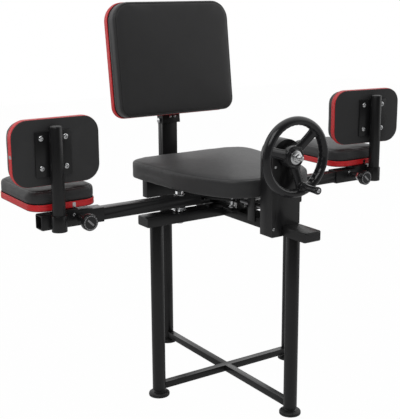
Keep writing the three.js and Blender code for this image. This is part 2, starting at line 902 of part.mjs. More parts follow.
function pivotBolt() {
  const headBottom = armTop + gap + pivotWasherHeight;
  return join(
    rodZ(pivotBoltRadius, 0, 0, [beamBottom - pivotNutHeight, headBottom]),
    rodZ(pivotHeadRadius, 0, 0, [headBottom, headBottom + pivotHeadHeight], hexSides),
    rodZ(pivotWasherRadius, 0, 0, [armTop + gap, headBottom], largeSides),
    rodZ(pivotHeadRadius, 0, 0, [beamBottom - pivotNutHeight, beamBottom - gap], hexSides),
  );
}

// A stack of washers, each a little smaller at its edges
function pivotSpacer() {
  const bottom = beamTop + gap;
  const washer = spacerHeight / spacerCount;
  const edge = washer / spacerCount;
  const profile = [[pivotBoltRadius + gap, bottom]];
  for (let index = 0; index < spacerCount; index += 1) {
    const low = bottom + index * washer;
    profile.push([spacerRadius - spacerGroove, low]);
    profile.push([spacerRadius, low + edge]);
    profile.push([spacerRadius, low + washer - edge]);
  }
  profile.push([spacerRadius - spacerGroove, bottom + spacerHeight]);
  profile.push([pivotBoltRadius + gap, bottom + spacerHeight]);
  return ringZ(profile);
}

function arm(side) {
  const bar = tube([side * armInner, side * armOuter], [-armHalf, armHalf], [armBottom, armTop],
    armWall, alongX);
  const through = [armBottom - overrun, armTop + overrun];
  const slot = block(
    [side * (armInner - overrun), side * slotInner],
    [-armHalf - overrun, armHalf + overrun],
    [linkBottom - gap, linkTop + gap],
  );
  const holes = [];
  for (let index = indexHoleFirst; index <= indexHoleLast; index += 1) {
    const u = knobU + index * indexHolePitch;
    holes.push(rodY(indexHoleRadius, side * u, [-armHalf - overrun, 0], armCentreZ));
  }
  return cut(
    bar,
    rodZ(pivotBoltRadius + gap, 0, 0, through),
    rodZ(linkPinRadius + gap, -side * linkPinLever, 0, through),
    slot,
    ...holes,
  );
}

function linkPin(side) {
  const low = armBottom - gap;
  const high = armTop + gap;
  const x = -side * linkPinLever;
  return join(
    rodZ(linkPinRadius, x, 0, [low - linkPinHeadHeight, high + linkPinHeadHeight]),
    rodZ(linkPinHeadRadius, x, 0, [low - linkPinHeadHeight, low]),
    rodZ(linkPinHeadRadius, x, 0, [high, high + linkPinHeadHeight]),
  );
}

// The link reaches from the arm's pin to the carriage, and its own pin stands on the carriage
function link(side) {
  const start = new THREE.Vector2(side * linkPinX, 0);
  const end = new THREE.Vector2(side * sliderPinX, carriageY);
  const along = end.clone().sub(start);
  const thickness = [linkBottom, linkTop];
  const bar = block([0, along.length()], [-linkHalfWidth, linkHalfWidth], thickness);
  bar.rotateZ(along.angle()).translate(start.x, start.y, 0);
  const foot = carriageTop + gap;
  return cut(
    join(
      bar,
      rodZ(linkHalfWidth, start.x, start.y, thickness, largeSides),
      rodZ(linkHalfWidth, end.x, end.y, thickness, largeSides),
      rodZ(sliderPinRadius, end.x, end.y, [foot, linkTop + sliderHeadHeight]),
      rodZ(sliderCollarRadius, end.x, end.y, [foot, foot + sliderCollarHeight]),
      rodZ(sliderHeadRadius, end.x, end.y, [linkTop, linkTop + sliderHeadHeight]),
    ),
    rodZ(linkPinRadius + gap, start.x, start.y, [linkBottom - overrun, linkTop + overrun]),
  );
}

function sleeve(side) {
  const bore = armHalf + gap;
  const outer = [side * sleeveInner, side * sleeveOuter];
  const through = [side * (sleeveInner - overrun), side * (sleeveOuter + overrun)];
  const postX = side * postU;
  const knobX = side * knobU;
  const bar = [sleeveTop, sleeveTop + padBarThickness];
  const wallFace = sleeveHalf - (sleeveHalf - bore) / 2;
  return cut(
    join(
      block(outer, [-sleeveHalf, sleeveHalf], [sleeveBottom, sleeveTop]),
      rodZ(socketRadius, postX, postY, [socketBottom, socketTop], largeSides),
      block(about(postX, socketWebHalf), [postY + socketWebShare * socketRadius, -wallFace],
        [sleeveBottom, sleeveTop]),
      rodY(barrelRadius, knobX, [barrelFront, -wallFace], armCentreZ, largeSides),
      block(about(side * flatU, padBarHalf), [-sleeveHalf, padBarBack], bar),
    ),
    block(through, [-bore, bore], about(armCentreZ, bore)),
    rodZ(padPostRadius + gap, postX, postY, [socketBottom - overrun, socketTop + overrun], largeSides),
    rodY(knobPinRadius + gap, knobX, [barrelFront - overrun, 0], armCentreZ),
    rodY(chamberRadius, knobX, [barrelFront + barrelWall, chamberBack], armCentreZ, largeSides),
  );
}

// The post stands on its own axis, and its plate carries the upright pad
function padPost() {
  const tubeWall = ringZ([
    [padPostRadius - padPostWall, socketBottom], [padPostRadius, socketBottom],
    [padPostRadius, padPostTop], [padPostRadius - padPostWall, padPostTop],
  ]);
  const face = uprightBackY - gap - postY;
  const plate = block([-mountHalfWidth, mountHalfWidth], [face - sheetThickness, face],
    [mountBottom, mountTop]);
  return join(tubeWall, plate);
}

// The pull knob is turned about Y: its pin, the flange that its spring pushes on, neck and head
function pullKnob() {
  const tip = -(armHalf + gap);
  const neckBack = barrelFront - gap;
  return turnedY([
    [0, tip], [knobPinRadius, tip], [knobPinRadius, knobFlangeBack],
    [knobFlangeRadius, knobFlangeBack], [knobFlangeRadius, knobFlangeFront],
    [knobPinRadius, knobFlangeFront], [knobPinRadius, neckBack], [knobNeckRadius, neckBack],
    [knobNeckRadius, knobHeadBack], [knobHeadRadius - knobRound, knobHeadBack],
    [knobHeadRadius, knobHeadBack - knobRound], [knobHeadRadius, knobFace + knobRound],
    [knobHeadRadius - knobRound, knobFace], [0, knobFace],
  ]);
}

function knobSpring() {
  const back = knobFlangeFront - gap;
  return ringY([
    [springRadius - springWall, back], [springRadius, back],
    [springRadius, back - springLength], [springRadius - springWall, back - springLength],
  ], smallSides);
}

function addPads(name, side, setIn, post, parent) {
  const pad = (outline) => cushion(outline, gap, padCushionThickness, padCrown, padDrawIn);
  const board = (outline) => slabZ(outline, [0, padBoardThickness]);
  const uprightOutline = roundedOutline(padLong, padShort, uprightCorner, uprightCorner, padRingPoints);
  const flatOutline = roundedOutline(flatWidth, flatLength, flatCorner, flatCorner, padRingPoints);
  const upright = new THREE.Group();
  upright.position.set(-side * setIn, uprightBackY - postY, uprightZ);
  upright.rotation.x = -quarterTurn;
  post.add(upright);
  add(`${name}_upright_board`, board(uprightOutline), "trim", upright);
  add(`${name}_upright_cushion`, pad(uprightOutline), "vinyl", upright).position.z = padBoardThickness;
  const flat = new THREE.Group();
  flat.position.set(side * flatU, flatFrontY + flatLength / 2, sleeveTop + padBarThickness + gap);
  add(`${name}_flat_board`, board(flatOutline), "trim", flat);
  add(`${name}_flat_cushion`, pad(flatOutline), "vinyl", flat).position.z = padBoardThickness;
  parent.add(flat);
}

function addArm(name, side, setIn, swivel) {
  const group = new THREE.Group();
  group.position.x = side * pivotX;
  machine.add(group);
  add(`${name}_pivot_bolt`, pivotBolt(), "chrome", group);
  add(`${name}_pivot_spacer`, pivotSpacer(), "chrome", group);
  add(`${name}_arm`, arm(side), "paint", group);
  add(`${name}_link_pin`, linkPin(side), "chrome", group);
  add(`${name}_link`, link(side), "paint");
  add(`${name}_sleeve`, sleeve(side), "paint", group);
  const post = new THREE.Group();
  post.position.set(side * postU, postY, 0);
  post.rotation.z = swivel;
  group.add(post);
  add(`${name}_post`, padPost(), "paint", post);
  const knob = add(`${name}_pull_knob`, pullKnob(), "plastic", group);
  const spring = add(`${name}_knob_spring`, knobSpring(), "steel", group);
  for (const mesh of [knob, spring]) mesh.position.set(side * knobU, 0, armCentreZ);
  addPads(name, side, setIn, post, group);
}

addLegs();
addBraces();
addBeams();
addSeat();
add("rear_seat_bearer", rearBearer(), "paint");
add("front_seat_bracket", frontSaddle(), "paint");
addBackrest();
addColumn();
addArm("left", -1, leftSetIn, leftSwivel);
addArm("right", 1, rightSetIn, rightSwivel);

// The origin is on the floor, under the middle of the machine's whole width and length
machine.updateMatrixWorld(true);
const reach = new THREE.Box3().setFromObject(machine, true);
const centre = reach.getCenter(new THREE.Vector3());
machine.position.set(-centre.x, -centre.y, 0);

export default machine;
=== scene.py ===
# %% [markdown]
# # A leg stretching machine
# A seat and a leaning backrest stand on a low frame of painted tube. Two arms carry padded rests
# for the legs, and a handwheel swings them open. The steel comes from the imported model, which
# holds every size and every joint. This script gives each piece its finish, and makes the pieces
# whose looks need more than a plain solid, such as cushions, trim, threads and chain.

# %% Load the frame
import json
from math import cos, exp, pi, radians, sin, tau

import bmesh
import bpy
from mathutils import Matrix, Vector
from mathutils.kdtree import KDTree


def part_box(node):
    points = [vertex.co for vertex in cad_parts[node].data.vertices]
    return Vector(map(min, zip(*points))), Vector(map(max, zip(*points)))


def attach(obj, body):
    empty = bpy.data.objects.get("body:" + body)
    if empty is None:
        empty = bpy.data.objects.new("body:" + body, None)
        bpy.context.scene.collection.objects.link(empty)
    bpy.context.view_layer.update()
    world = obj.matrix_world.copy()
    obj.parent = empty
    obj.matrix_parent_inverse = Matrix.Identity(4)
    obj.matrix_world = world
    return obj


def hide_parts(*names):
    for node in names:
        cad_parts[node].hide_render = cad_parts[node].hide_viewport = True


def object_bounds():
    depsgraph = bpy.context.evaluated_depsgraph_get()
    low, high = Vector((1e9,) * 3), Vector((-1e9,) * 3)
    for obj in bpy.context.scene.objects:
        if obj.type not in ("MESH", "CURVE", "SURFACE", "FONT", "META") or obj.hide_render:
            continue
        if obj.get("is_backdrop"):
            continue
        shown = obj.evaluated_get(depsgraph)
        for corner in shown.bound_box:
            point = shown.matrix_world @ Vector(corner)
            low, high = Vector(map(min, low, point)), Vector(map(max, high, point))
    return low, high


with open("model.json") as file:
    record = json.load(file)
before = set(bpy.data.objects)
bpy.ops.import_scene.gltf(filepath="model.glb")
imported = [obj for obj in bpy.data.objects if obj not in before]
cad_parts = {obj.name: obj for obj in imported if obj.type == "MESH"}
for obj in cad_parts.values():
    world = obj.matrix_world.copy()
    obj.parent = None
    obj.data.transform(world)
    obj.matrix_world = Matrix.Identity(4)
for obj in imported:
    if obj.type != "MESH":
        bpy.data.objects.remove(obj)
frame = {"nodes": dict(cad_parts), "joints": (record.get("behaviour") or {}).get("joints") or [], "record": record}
cad_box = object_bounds()
scene = bpy.context.scene
mm = 0.001
right_angle = pi / 2
world_right = Vector((1, 0, 0))
world_back = Vector((0, 1, 0))
world_up = Vector((0, 0, 1))
white = (1, 1, 1, 1)
body_of = {
    node: body
    for body, nodes in frame["record"]["behaviour"]["bodies"].items()
    for node in nodes
}
pivot_of = {
    joint["name"]: Vector(joint["pos_m"]) for joint in frame["joints"] if "pos_m" in joint
}
sides = {"left": -1, "right": 1}


def outward(angle):
    """The way out from Z at an angle from X."""
    return Vector((cos(angle), sin(angle), 0))


def middle_of(node):
    low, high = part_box(node)
    return (low + high) / 2


def size_of(node):
    low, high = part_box(node)
    return high - low


def linked(name, data):
    """A new object in the scene."""
    thing = bpy.data.objects.new(name, data)
    scene.collection.objects.link(thing)
    return thing


def node_in(tree, kind, sockets=(), **settings):
    """A new node whose sockets are filled by values or joined to other nodes' sockets."""
    node = tree.nodes.new(kind)
    for name, value in settings.items():
        setattr(node, name, value)
    for name, source in dict(sockets).items():
        if isinstance(source, bpy.types.NodeSocket):
            tree.links.new(source, node.inputs[name])
        else:
            node.inputs[name].default_value = source
    return node


# %% [markdown]
# ## The camera
# The photograph is taken from the front left, a little above the seat. A camera that was fitted to
# the beams, the seat and the pads gives the place, the turn and the lens. The sensor is Blender's
# usual 36 mm, so the lens follows from the focal length in pixels.

# %% The camera
photo_width = 400
photo_height = 419
focal_pixels = 910.9
optical_centre = Vector((208.6, 195.9))
camera_place = Vector((-1385.4, -1949.6, 1081.2)) * mm
camera_yaw = radians(34.1)
camera_pitch = radians(13.1)
camera_roll = radians(0.2)

camera_data = bpy.data.cameras.new("camera")
camera_data.sensor_fit = "HORIZONTAL"
camera_data.lens = camera_data.sensor_width * focal_pixels / photo_width
camera_data.shift_x = (photo_width / 2 - optical_centre.x) / photo_width
camera_data.shift_y = (optical_centre.y - photo_height / 2) / photo_width
camera = linked("camera", camera_data)
camera.location = camera_place
camera.rotation_euler = (right_angle - camera_pitch, camera_roll, -camera_yaw)
scene.camera = camera
print("lens", round(camera_data.lens, 1), "mm")

# %% [markdown]
# ## Light, backdrop and floor
# A product photograph of black paint is lit by what the paint mirrors. White walls behind the
# object make the tops of the tubes shine, and a darker room behind the camera keeps the faces
# that look at us black. The world does both: rays that go to the camera see white, and mirrored
# rays see a room that darkens towards the camera. The floor is grey and glows, so that it is white
# to the camera and keeps a trace of shadow. Rays that bounce see much less of that glow, so that
# undersides and upright faces stay dark.

# %% Light, backdrop and floor
ambient_strength = 0.36
room_behind = 1.0
room_in_front = 0.06
room_turns = (-0.25, 0.5)
camera_side = Vector((-sin(camera_yaw), -cos(camera_yaw), 0))
floor_half = 6.0
floor_grey = (0.5, 0.5, 0.5, 1)
floor_glow_share = 0.99
floor_glow_for_diffuse = 0.15
floor_glow_for_glossy = 0.16
key_size = 1.6
key_power = 20
key_place = Vector((-1.6, -1.0, 2.6))
fill_size = 2.0
fill_power = 3
fill_place = Vector((2.2, -1.2, 1.8))
light_target = Vector((0, 0, 0.6))


def by_ray(tree, ray, told, other):
    """One value for the rays of a kind, and another for the rest."""
    # A mix node has sockets of the same name for each kind of value, so they go by number.
    return node_in(tree, "ShaderNodeMix", {0: ray, 2: other, 3: told}, data_type="FLOAT").outputs[0]


def light_the_world():
    world = bpy.data.worlds.new("white room")
    world.use_nodes = True
    scene.world = world
    tree = world.node_tree
    rays = node_in(tree, "ShaderNodeLightPath").outputs
    way = node_in(tree, "ShaderNodeTexCoord").outputs["Generated"]
    facing = node_in(
        tree, "ShaderNodeVectorMath", {0: way, 1: camera_side}, operation="DOT_PRODUCT",
    ).outputs["Value"]
    low, high = room_turns
    room = node_in(tree, "ShaderNodeMapRange", {
        "Value": facing, "From Min": low, "From Max": high, "To Min": room_behind,
        "To Max": room_in_front,
    }, interpolation_type="SMOOTHSTEP").outputs["Result"]
    mirrored = by_ray(tree, rays["Is Glossy Ray"], room, ambient_strength)
    background = tree.nodes["Background"].inputs
    background["Color"].default_value = white
    tree.links.new(by_ray(tree, rays["Is Camera Ray"], 1, mirrored), background["Strength"])


def area_light(name, place, size, power):
    data = bpy.data.lights.new(name, "AREA")
    data.size = size
    data.energy = power
    lamp = linked(name, data)
    lamp.location = place
    lamp.rotation_euler = (light_target - place).to_track_quat("-Z", "Y").to_euler()


def glow_by_ray(tree):
    """The floor's share of glow: full to the camera, and less to rays that bounce."""
    rays = node_in(tree, "ShaderNodeLightPath").outputs
    glossy = by_ray(tree, rays["Is Glossy Ray"], floor_glow_for_glossy, floor_glow_share)
    return by_ray(tree, rays["Is Diffuse Ray"], floor_glow_for_diffuse, glossy)


def white_floor():
    mesh = bpy.data.meshes.new("floor")
    corners = [(-1, -1), (1, -1), (1, 1), (-1, 1)]
    mesh.from_pydata([(x * floor_half, y * floor_half, 0) for x, y in corners], [], [(0, 1, 2, 3)])
    material = bpy.data.materials.new("floor white")
    material.use_nodes = True
    tree = material.node_tree
    tree.nodes.clear()
    paint = node_in(tree, "ShaderNodeBsdfDiffuse", {"Color": floor_grey}).outputs[0]
    glow = node_in(tree, "ShaderNodeEmission", {"Color": white}).outputs[0]
    mix = node_in(tree, "ShaderNodeMixShader", {0: glow_by_ray(tree), 1: paint, 2: glow})
    node_in(tree, "ShaderNodeOutputMaterial", {"Surface": mix.outputs[0]})
    mesh.materials.append(material)
    floor = linked("floor", mesh)
    floor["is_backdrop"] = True


scene.view_settings.view_transform = "Standard"
light_the_world()
area_light("key light", key_place, key_size, key_power)
area_light("fill light", fill_place, fill_size, fill_power)
white_floor()

# %% [markdown]
# ## Finishes
# Every finish starts from one shader and adds what its surface shows close up. Paint that was
# sprayed as powder has a faint orange peel, vinyl has a leather-like grain, and moulded plastic is
# finely matt. The grain reads Object coordinates, and since each piece keeps its place in its
# mesh, the pattern has its real size everywhere. The size of a pattern is written in metres, and a
# texture's scale is one over that size.

# %% Finishes
black_paint_colour = (0.008, 0.008, 0.0085)
vinyl_colour = (0.034, 0.034, 0.035)
# The seam's dark colour is painted shade of its groove.
seam_shade_colour = (0.006, 0.006, 0.006)
trim_colour = (0.76, 0.018, 0.024)
plastic_colour = (0.013, 0.013, 0.014)
rubber_colour = (0.012, 0.012, 0.012)
chrome_colour = (0.8, 0.81, 0.82)
steel_colour = (0.42, 0.42, 0.43)
cloth_colour = (0.02, 0.02, 0.021)
noise_detail = 3


class Finish:
    """A material whose Principled shader gets mottled colour, varied gloss and a bump."""

    def __init__(self, name, colour, roughness, **sockets):
        self.material = bpy.data.materials.new(name)
        self.material.use_nodes = True
        self.material.diffuse_color = (*colour, 1)
        self.tree = self.material.node_tree
        self.shader = self.tree.nodes["Principled BSDF"].inputs
        self.shader["Base Color"].default_value = (*colour, 1)
        self.shader["Roughness"].default_value = roughness
        self.place = self.node("TexCoord").outputs["Object"]
        self.colour = colour
        self.roughness = roughness
        self.bump = None
        for label, value in sockets.items():
            self.shader[label.replace("_", " ")].default_value = value

    def node(self, kind, sockets=(), **settings):
        return node_in(self.tree, "ShaderNode" + kind, sockets, **settings)

    def noise(self, size):
        sockets = {"Scale": 1 / size, "Detail": noise_detail, "Vector": self.place}
        return self.node("TexNoise", sockets).outputs["Fac"]

    def cells(self, size):
        sockets = {"Scale": 1 / size, "Vector": self.place}
        return self.node("TexVoronoi", sockets, feature="SMOOTH_F1").outputs["Distance"]

    def tinted(self, amount, low, high):
        mix = self.node("Mix", {0: amount, 6: low, 7: high}, data_type="RGBA")
        self.tree.links.new(mix.outputs[2], self.shader["Base Color"])
        return self

    def mottled(self, size, share):
        shades = [(*[part * (1 + way * share) for part in self.colour], 1) for way in (-1, 1)]
        return self.tinted(self.noise(size), *shades)

    def seamed(self, colour, width, depth):
        """Darkens the surface with painted shade and grooves it where the mesh says that its seam is near."""
        way = self.node("Attribute", attribute_name="seam").outputs["Fac"]
        near = self.node("Math", {0: way}, operation="ABSOLUTE").outputs[0]
        sockets = {"Value": near, "From Max": width}
        # This mask, lowest at the seam, makes the groove's bump and mixes in its painted shade.
        thread = self.node("MapRange", sockets, interpolation_type="SMOOTHSTEP").outputs["Result"]
        base = self.shader["Base Color"].links[0].from_socket
        return self.tinted(thread, (*colour, 1), base).bumped(thread, depth)

    def varied_gloss(self, size, share):
        low, high = [self.roughness * (1 + way * share) for way in (-1, 1)]
        sockets = {"Value": self.noise(size), "To Min": low, "To Max": high}
        gloss = self.node("MapRange", sockets).outputs["Result"]
        self.tree.links.new(gloss, self.shader["Roughness"])
        return self

    def bumped(self, height, depth):
        sockets = {"Distance": depth, "Height": height}
        if self.bump:
            sockets["Normal"] = self.bump
        self.bump = self.node("Bump", sockets).outputs["Normal"]
        self.tree.links.new(self.bump, self.shader["Normal"])
        return self


def powder_paint():
    cloud_size = 60 * mm
    peel_size = 1.6 * mm
    peel_depth = 0.012 * mm
    finish = Finish("black powder paint", black_paint_colour, roughness=0.3)
    finish.mottled(cloud_size, share=0.15).varied_gloss(cloud_size, share=0.2)
    return finish.bumped(finish.noise(peel_size), peel_depth).material


def black_vinyl():
    cloud_size = 45 * mm
    crease_size = 14 * mm
    crease_depth = 0.12 * mm
    groove_width = 1.6 * mm
    groove_depth = 0.8 * mm
    grain_size = 1.1 * mm
    grain_depth = 0.06 * mm
    sheen = {"Sheen_Weight": 0.12, "Sheen_Roughness": 0.45}
    finish = Finish("black vinyl", vinyl_colour, roughness=0.48, **sheen)
    finish.mottled(cloud_size, share=0.1).varied_gloss(crease_size, share=0.12)
    # The seam is a groove, darkened with painted shade.
    finish.seamed(seam_shade_colour, groove_width, groove_depth)
    finish.bumped(finish.noise(crease_size), crease_depth)
    return finish.bumped(finish.cells(grain_size), grain_depth).material


def board_vinyl():
    cloud_size = 70 * mm
    grain_size = 0.8 * mm
    grain_depth = 0.03 * mm
    finish = Finish("black board face", vinyl_colour, roughness=0.55)
    finish.mottled(cloud_size, share=0.12).varied_gloss(cloud_size, share=0.1)
    return finish.bumped(finish.cells(grain_size), grain_depth).material


def red_trim():
    cloud_size = 30 * mm
    grain_size = 0.6 * mm
    grain_depth = 0.01 * mm
    coat = {"Coat_Weight": 0.15, "Coat_Roughness": 0.2}
    finish = Finish("red edge trim", trim_colour, roughness=0.34, **coat)
    finish.mottled(cloud_size, share=0.08).varied_gloss(cloud_size, share=0.15)
    return finish.bumped(finish.noise(grain_size), grain_depth).material


def moulded_plastic():
    cloud_size = 25 * mm
    grain_size = 0.5 * mm
    grain_depth = 0.012 * mm
    finish = Finish("black moulded plastic", plastic_colour, roughness=0.3)
    finish.mottled(cloud_size, share=0.15).varied_gloss(cloud_size, share=0.2)
    return finish.bumped(finish.noise(grain_size), grain_depth).material


def glossy_plastic():
    cloud_size = 40 * mm
    grain_size = 8 * mm
    grain_depth = 0.02 * mm
    finish = Finish("glossy black plastic", plastic_colour, roughness=0.16)
    finish.mottled(cloud_size, share=0.15).varied_gloss(cloud_size, share=0.25)
    return finish.bumped(finish.noise(grain_size), grain_depth).material


def foot_rubber():
    cloud_size = 20 * mm
    grain_size = 0.7 * mm
    grain_depth = 0.03 * mm
    finish = Finish("foot rubber", rubber_colour, roughness=0.5)
    finish.mottled(cloud_size, share=0.2).varied_gloss(cloud_size, share=0.15)
    return finish.bumped(finish.noise(grain_size), grain_depth).material


def bright_chrome():
    scuff_size = 4 * mm
    scuff_depth = 0.004 * mm
    finish = Finish("chrome", chrome_colour, roughness=0.16, Metallic=1)
    finish.mottled(scuff_size, share=0.05).varied_gloss(scuff_size, share=0.35)
    return finish.bumped(finish.noise(scuff_size), scuff_depth).material


def bare_steel():
    cloud_size = 12 * mm
    grain_size = 0.9 * mm
    grain_depth = 0.01 * mm
    finish = Finish("bare steel", steel_colour, roughness=0.34, Metallic=1)
    finish.mottled(cloud_size, share=0.2).varied_gloss(cloud_size, share=0.25)
    return finish.bumped(finish.noise(grain_size), grain_depth).material


def lining_cloth():
    cloud_size = 35 * mm
    fibre_size = 0.9 * mm
    fibre_depth = 0.08 * mm
    sheen = {"Sheen_Weight": 0.2, "Sheen_Roughness": 0.6}
    finish = Finish("black lining", cloth_colour, roughness=0.85, **sheen)
    finish.mottled(cloud_size, share=0.25)
    return finish.bumped(finish.cells(fibre_size), fibre_depth).material


finishes = {
    "paint": powder_paint(),
    "vinyl": black_vinyl(),
    "board": board_vinyl(),
    "trim": red_trim(),
    "plastic": moulded_plastic(),
    "gloss": glossy_plastic(),
    "rubber": foot_rubber(),
    "chrome": bright_chrome(),
    "steel": bare_steel(),
    "lining": lining_cloth(),
}
print(len(finishes), "finishes")

# %% [markdown]
# ## Making pieces
# Each finished piece is a plain mesh that sits at the origin with its place in its vertices, rides
# on the body that carries it, and hides the nodes that it stands for. One helper does all of that,
# so that no piece is left without a body or a finish.

# %% Making pieces
def add_piece(name, form, node, finish, replaced=(), place=None):
    """Adds a piece that rides with a node's body, in a given finish, and hides the nodes it replaces."""
    mesh = form if isinstance(form, bpy.types.Mesh) else mesh_from(form, name)
    if place is not None:
        mesh.transform(place)
    if not mesh.materials:
        mesh.materials.append(finishes[finish])
    thing = linked(name, mesh)
    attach(thing, body_of[node])
    if replaced:
        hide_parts(*replaced)
    return thing


def mesh_from(work, name):
    """Turns a bmesh into a mesh whose faces point outwards, with smooth shading up to an edge."""
    sharp_angle = radians(38)
    bmesh.ops.recalc_face_normals(work, faces=work.faces)
    mesh = bpy.data.meshes.new(name)
    work.to_mesh(mesh)
    work.free()
    mesh.shade_smooth()
    mesh.set_sharp_from_angle(angle=sharp_angle)
    return mesh


def plain_mesh(thing, name):
    """The mesh that an object's modifiers make, as a mesh of its own, and the object is removed."""
    graph = bpy.context.evaluated_depsgraph_get()
    mesh = bpy.data.meshes.new_from_object(thing.evaluated_get(graph), depsgraph=graph)
    mesh.name = name
    bpy.data.objects.remove(thing)
    return mesh


def frame_facing(facing, up, origin):
    """A matrix whose Z is facing and whose Y is nearly up."""
    z = facing.normalized()
    x = up.cross(z).normalized()
    y = z.cross(x)
    return Matrix.Translation(origin) @ Matrix((x, y, z)).transposed().to_4x4()


# %% [markdown]
# ## Steel, with its edges eased
# Tube is never as sharp as a drawing. Light catches a small round on each edge, and that thin
# bright line is what makes painted steel read as steel. The node's mesh is loose triangles, so a
# copy is merged, its flat faces are joined again, and each corner gets a small bevel.

# %% Steel, with its edges eased
merge_distance = 0.01 * mm
flat_angle = radians(1)
corner_angle = radians(40)
tube_round = 1.2 * mm
small_round = 0.4 * mm
board_gap = 0.4 * mm
link_pin_x = 33 * mm
link_pin_reach = 9.6 * mm
link_foot_radius = 9 * mm
link_head_height = 3.5 * mm
link_thickness = 6 * mm
machine_middle = middle_of("long_beam").x


def flattened(node):
    """A copy of a node's mesh whose loose triangles are joined into flat faces."""
    work = bmesh.new()
    work.from_mesh(frame["nodes"][node].data)
    bmesh.ops.remove_doubles(work, verts=work.verts, dist=merge_distance)
    bmesh.ops.dissolve_limit(work, angle_limit=flat_angle, verts=work.verts, edges=work.edges)
    return work


def eased(node, radius, finish):
    """Replaces a node by a copy with eased corners."""
    work = flattened(node)
    corners = [
        edge for edge in work.edges
        if len(edge.link_faces) == 2 and edge.calc_face_angle(0) > corner_angle
    ]
    bmesh.ops.bevel(
        work, geom=corners, offset=radius, segments=2, profile=0.5, affect="EDGES",
        clamp_overlap=True,
    )
    return add_piece(node + "_eased", work, node, finish, [node])


def eased_link(node):
    """A painted link whose pin, which stands on the carriage, is chromed above and below the bar."""
    link = eased(node, small_round, "paint")
    link.data.materials.append(finishes["chrome"])
    low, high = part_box(node)
    pin = Vector((link_pin_x if high.x > 0 else -link_pin_x, low.y + link_foot_radius, 0))
    pin.x += machine_middle
    bar = (high.z - link_head_height - link_thickness, high.z - link_head_height)
    for face in link.data.polygons:
        centre = face.center
        beside = (centre.xy - pin.xy).length < link_pin_reach
        if beside and not bar[0] - board_gap < centre.z < bar[1] + board_gap:
            face.material_index = 1
    return link


painted_tubes = [
    "leg_left", "leg_right", "leg_rear", "leg_front", "side_brace", "front_brace", "rear_brace",
    "long_beam", "left_cross_beam", "right_cross_beam", "rear_seat_bearer", "front_seat_bracket",
    "backrest_post", "backrest_bracket", "column_case", "column_cover", "screw_bearing",
    "slider_carriage",
]
painted_tubes += [f"{side}_{part}" for side in sides for part in ("arm", "sleeve", "post")]
chromed = ["backrest_tilt_bolt", "handwheel_shaft"]
chromed += [
    f"{side}_{part}" for side in sides for part in ("pivot_bolt", "pivot_spacer", "link_pin")
]
for node in painted_tubes:
    eased(node, tube_round, "paint")
for node in chromed:
    eased(node, small_round, "chrome")
for side in sides:
    eased_link(side + "_link")
for node in ("foot_left", "foot_right", "foot_rear", "foot_front"):
    eased(node, tube_round, "rubber")
print(len(painted_tubes) + len(chromed), "steel pieces eased")

# %% [markdown]
# ## Geometry Nodes for what repeats
# Trim, threads, springs, chain and screws either follow a path or repeat one part many times. Each
# has a small tree with named inputs. What a tree grows becomes a plain mesh at once, so no piece
# keeps a modifier that the motion would have to know.

# %% Geometry Nodes: a tree and what it grows
class Tree:
    """A geometry node tree with named inputs, built node by node."""

    def __init__(self, name, **inputs):
        self.group = bpy.data.node_groups.new(name, "GeometryNodeTree")
        self.socket("INPUT", "Geometry", "Geometry")
        self.socket("OUTPUT", "Geometry", "Geometry")
        for label, kind in inputs.items():
            self.socket("INPUT", label, kind)
        self.given = node_in(self.group, "NodeGroupInput").outputs

    def socket(self, way, label, kind):
        self.group.interface.new_socket(label, in_out=way, socket_type="NodeSocket" + kind)

    def node(self, kind, sockets, **settings):
        return node_in(self.group, "GeometryNode" + kind, sockets, **settings).outputs[0]

    def finished(self, geometry):
        """Ends the tree with real geometry in the given material."""
        real = self.node("RealizeInstances", {"Geometry": geometry})
        coated = self.node("SetMaterial", {"Geometry": real, "Material": self.given["material"]})
        node_in(self.group, "NodeGroupOutput", {"Geometry": coated})
        return self.group


def grown(tree, name, mesh=None, **values):
    """The mesh that a tree grows, with its inputs set by their names."""
    thing = linked(name, mesh or bpy.data.meshes.new(name))
    modifier = thing.modifiers.new("grow", "NODES")
    modifier.node_group = tree
    for socket in tree.interface.items_tree:
        if socket.in_out == "INPUT" and socket.name in values:
            modifier[socket.identifier] = values[socket.name]
    return plain_mesh(thing, name)


def sweep_tree():
    """A band of rounded section along a closed path."""
    tree = Tree("band along a path", depth="Float", height="Float", round="Float", material="Material")
    path = tree.node("MeshToCurve", {"Mesh": tree.given["Geometry"]})
    upright = tree.node("SetCurveNormal", {"Curve": path}, mode="Z_UP")
    section = tree.node(
        "CurvePrimitiveQuadrilateral",
        {"Width": tree.given["depth"], "Height": tree.given["height"]},
    )
    soft = tree.node(
        "FilletCurve", {"Curve": section, "Radius": tree.given["round"], "Count": fillet_steps},
        mode="POLY",
    )
    band = tree.node("CurveToMesh", {"Curve": upright, "Profile Curve": soft})
    return tree.finished(band)


def coil_tree():
    """A wire wound in a helix about Z."""
    tree = Tree(
        "wound wire", radius="Float", wire="Float", turns="Float", length="Float",
        material="Material",
    )
    helix = tree.node("CurveSpiral", {
        "Resolution": coil_steps, "Rotations": tree.given["turns"],
        "Start Radius": tree.given["radius"], "End Radius": tree.given["radius"],
        "Height": tree.given["length"],
    })
    section = tree.node(
        "CurvePrimitiveCircle", {"Resolution": wire_sides, "Radius": tree.given["wire"]},
    )
    wire = tree.node(
        "CurveToMesh", {"Curve": helix, "Profile Curve": section, "Fill Caps": True},
    )
    return tree.finished(wire)


def scatter_tree():
    """One part at each point of a mesh, its Z along the point's facing."""
    tree = Tree("part at points", part="Object", material="Material")
    part = node_in(tree.group, "GeometryNodeObjectInfo", {"Object": tree.given["part"]})
    facing, along = [
        tree.node("InputNamedAttribute", {"Name": name}, data_type="FLOAT_VECTOR")
        for name in ("facing", "along")
    ]
    turn = node_in(
        tree.group, "FunctionNodeAxesToRotation",
        {"Primary Axis": facing, "Secondary Axis": along}, primary_axis="Z", secondary_axis="X",
    )
    placed = tree.node("InstanceOnPoints", {
        "Points": tree.given["Geometry"], "Instance": part.outputs["Geometry"],
        "Rotation": turn.outputs[0],
    })
    return tree.finished(placed)


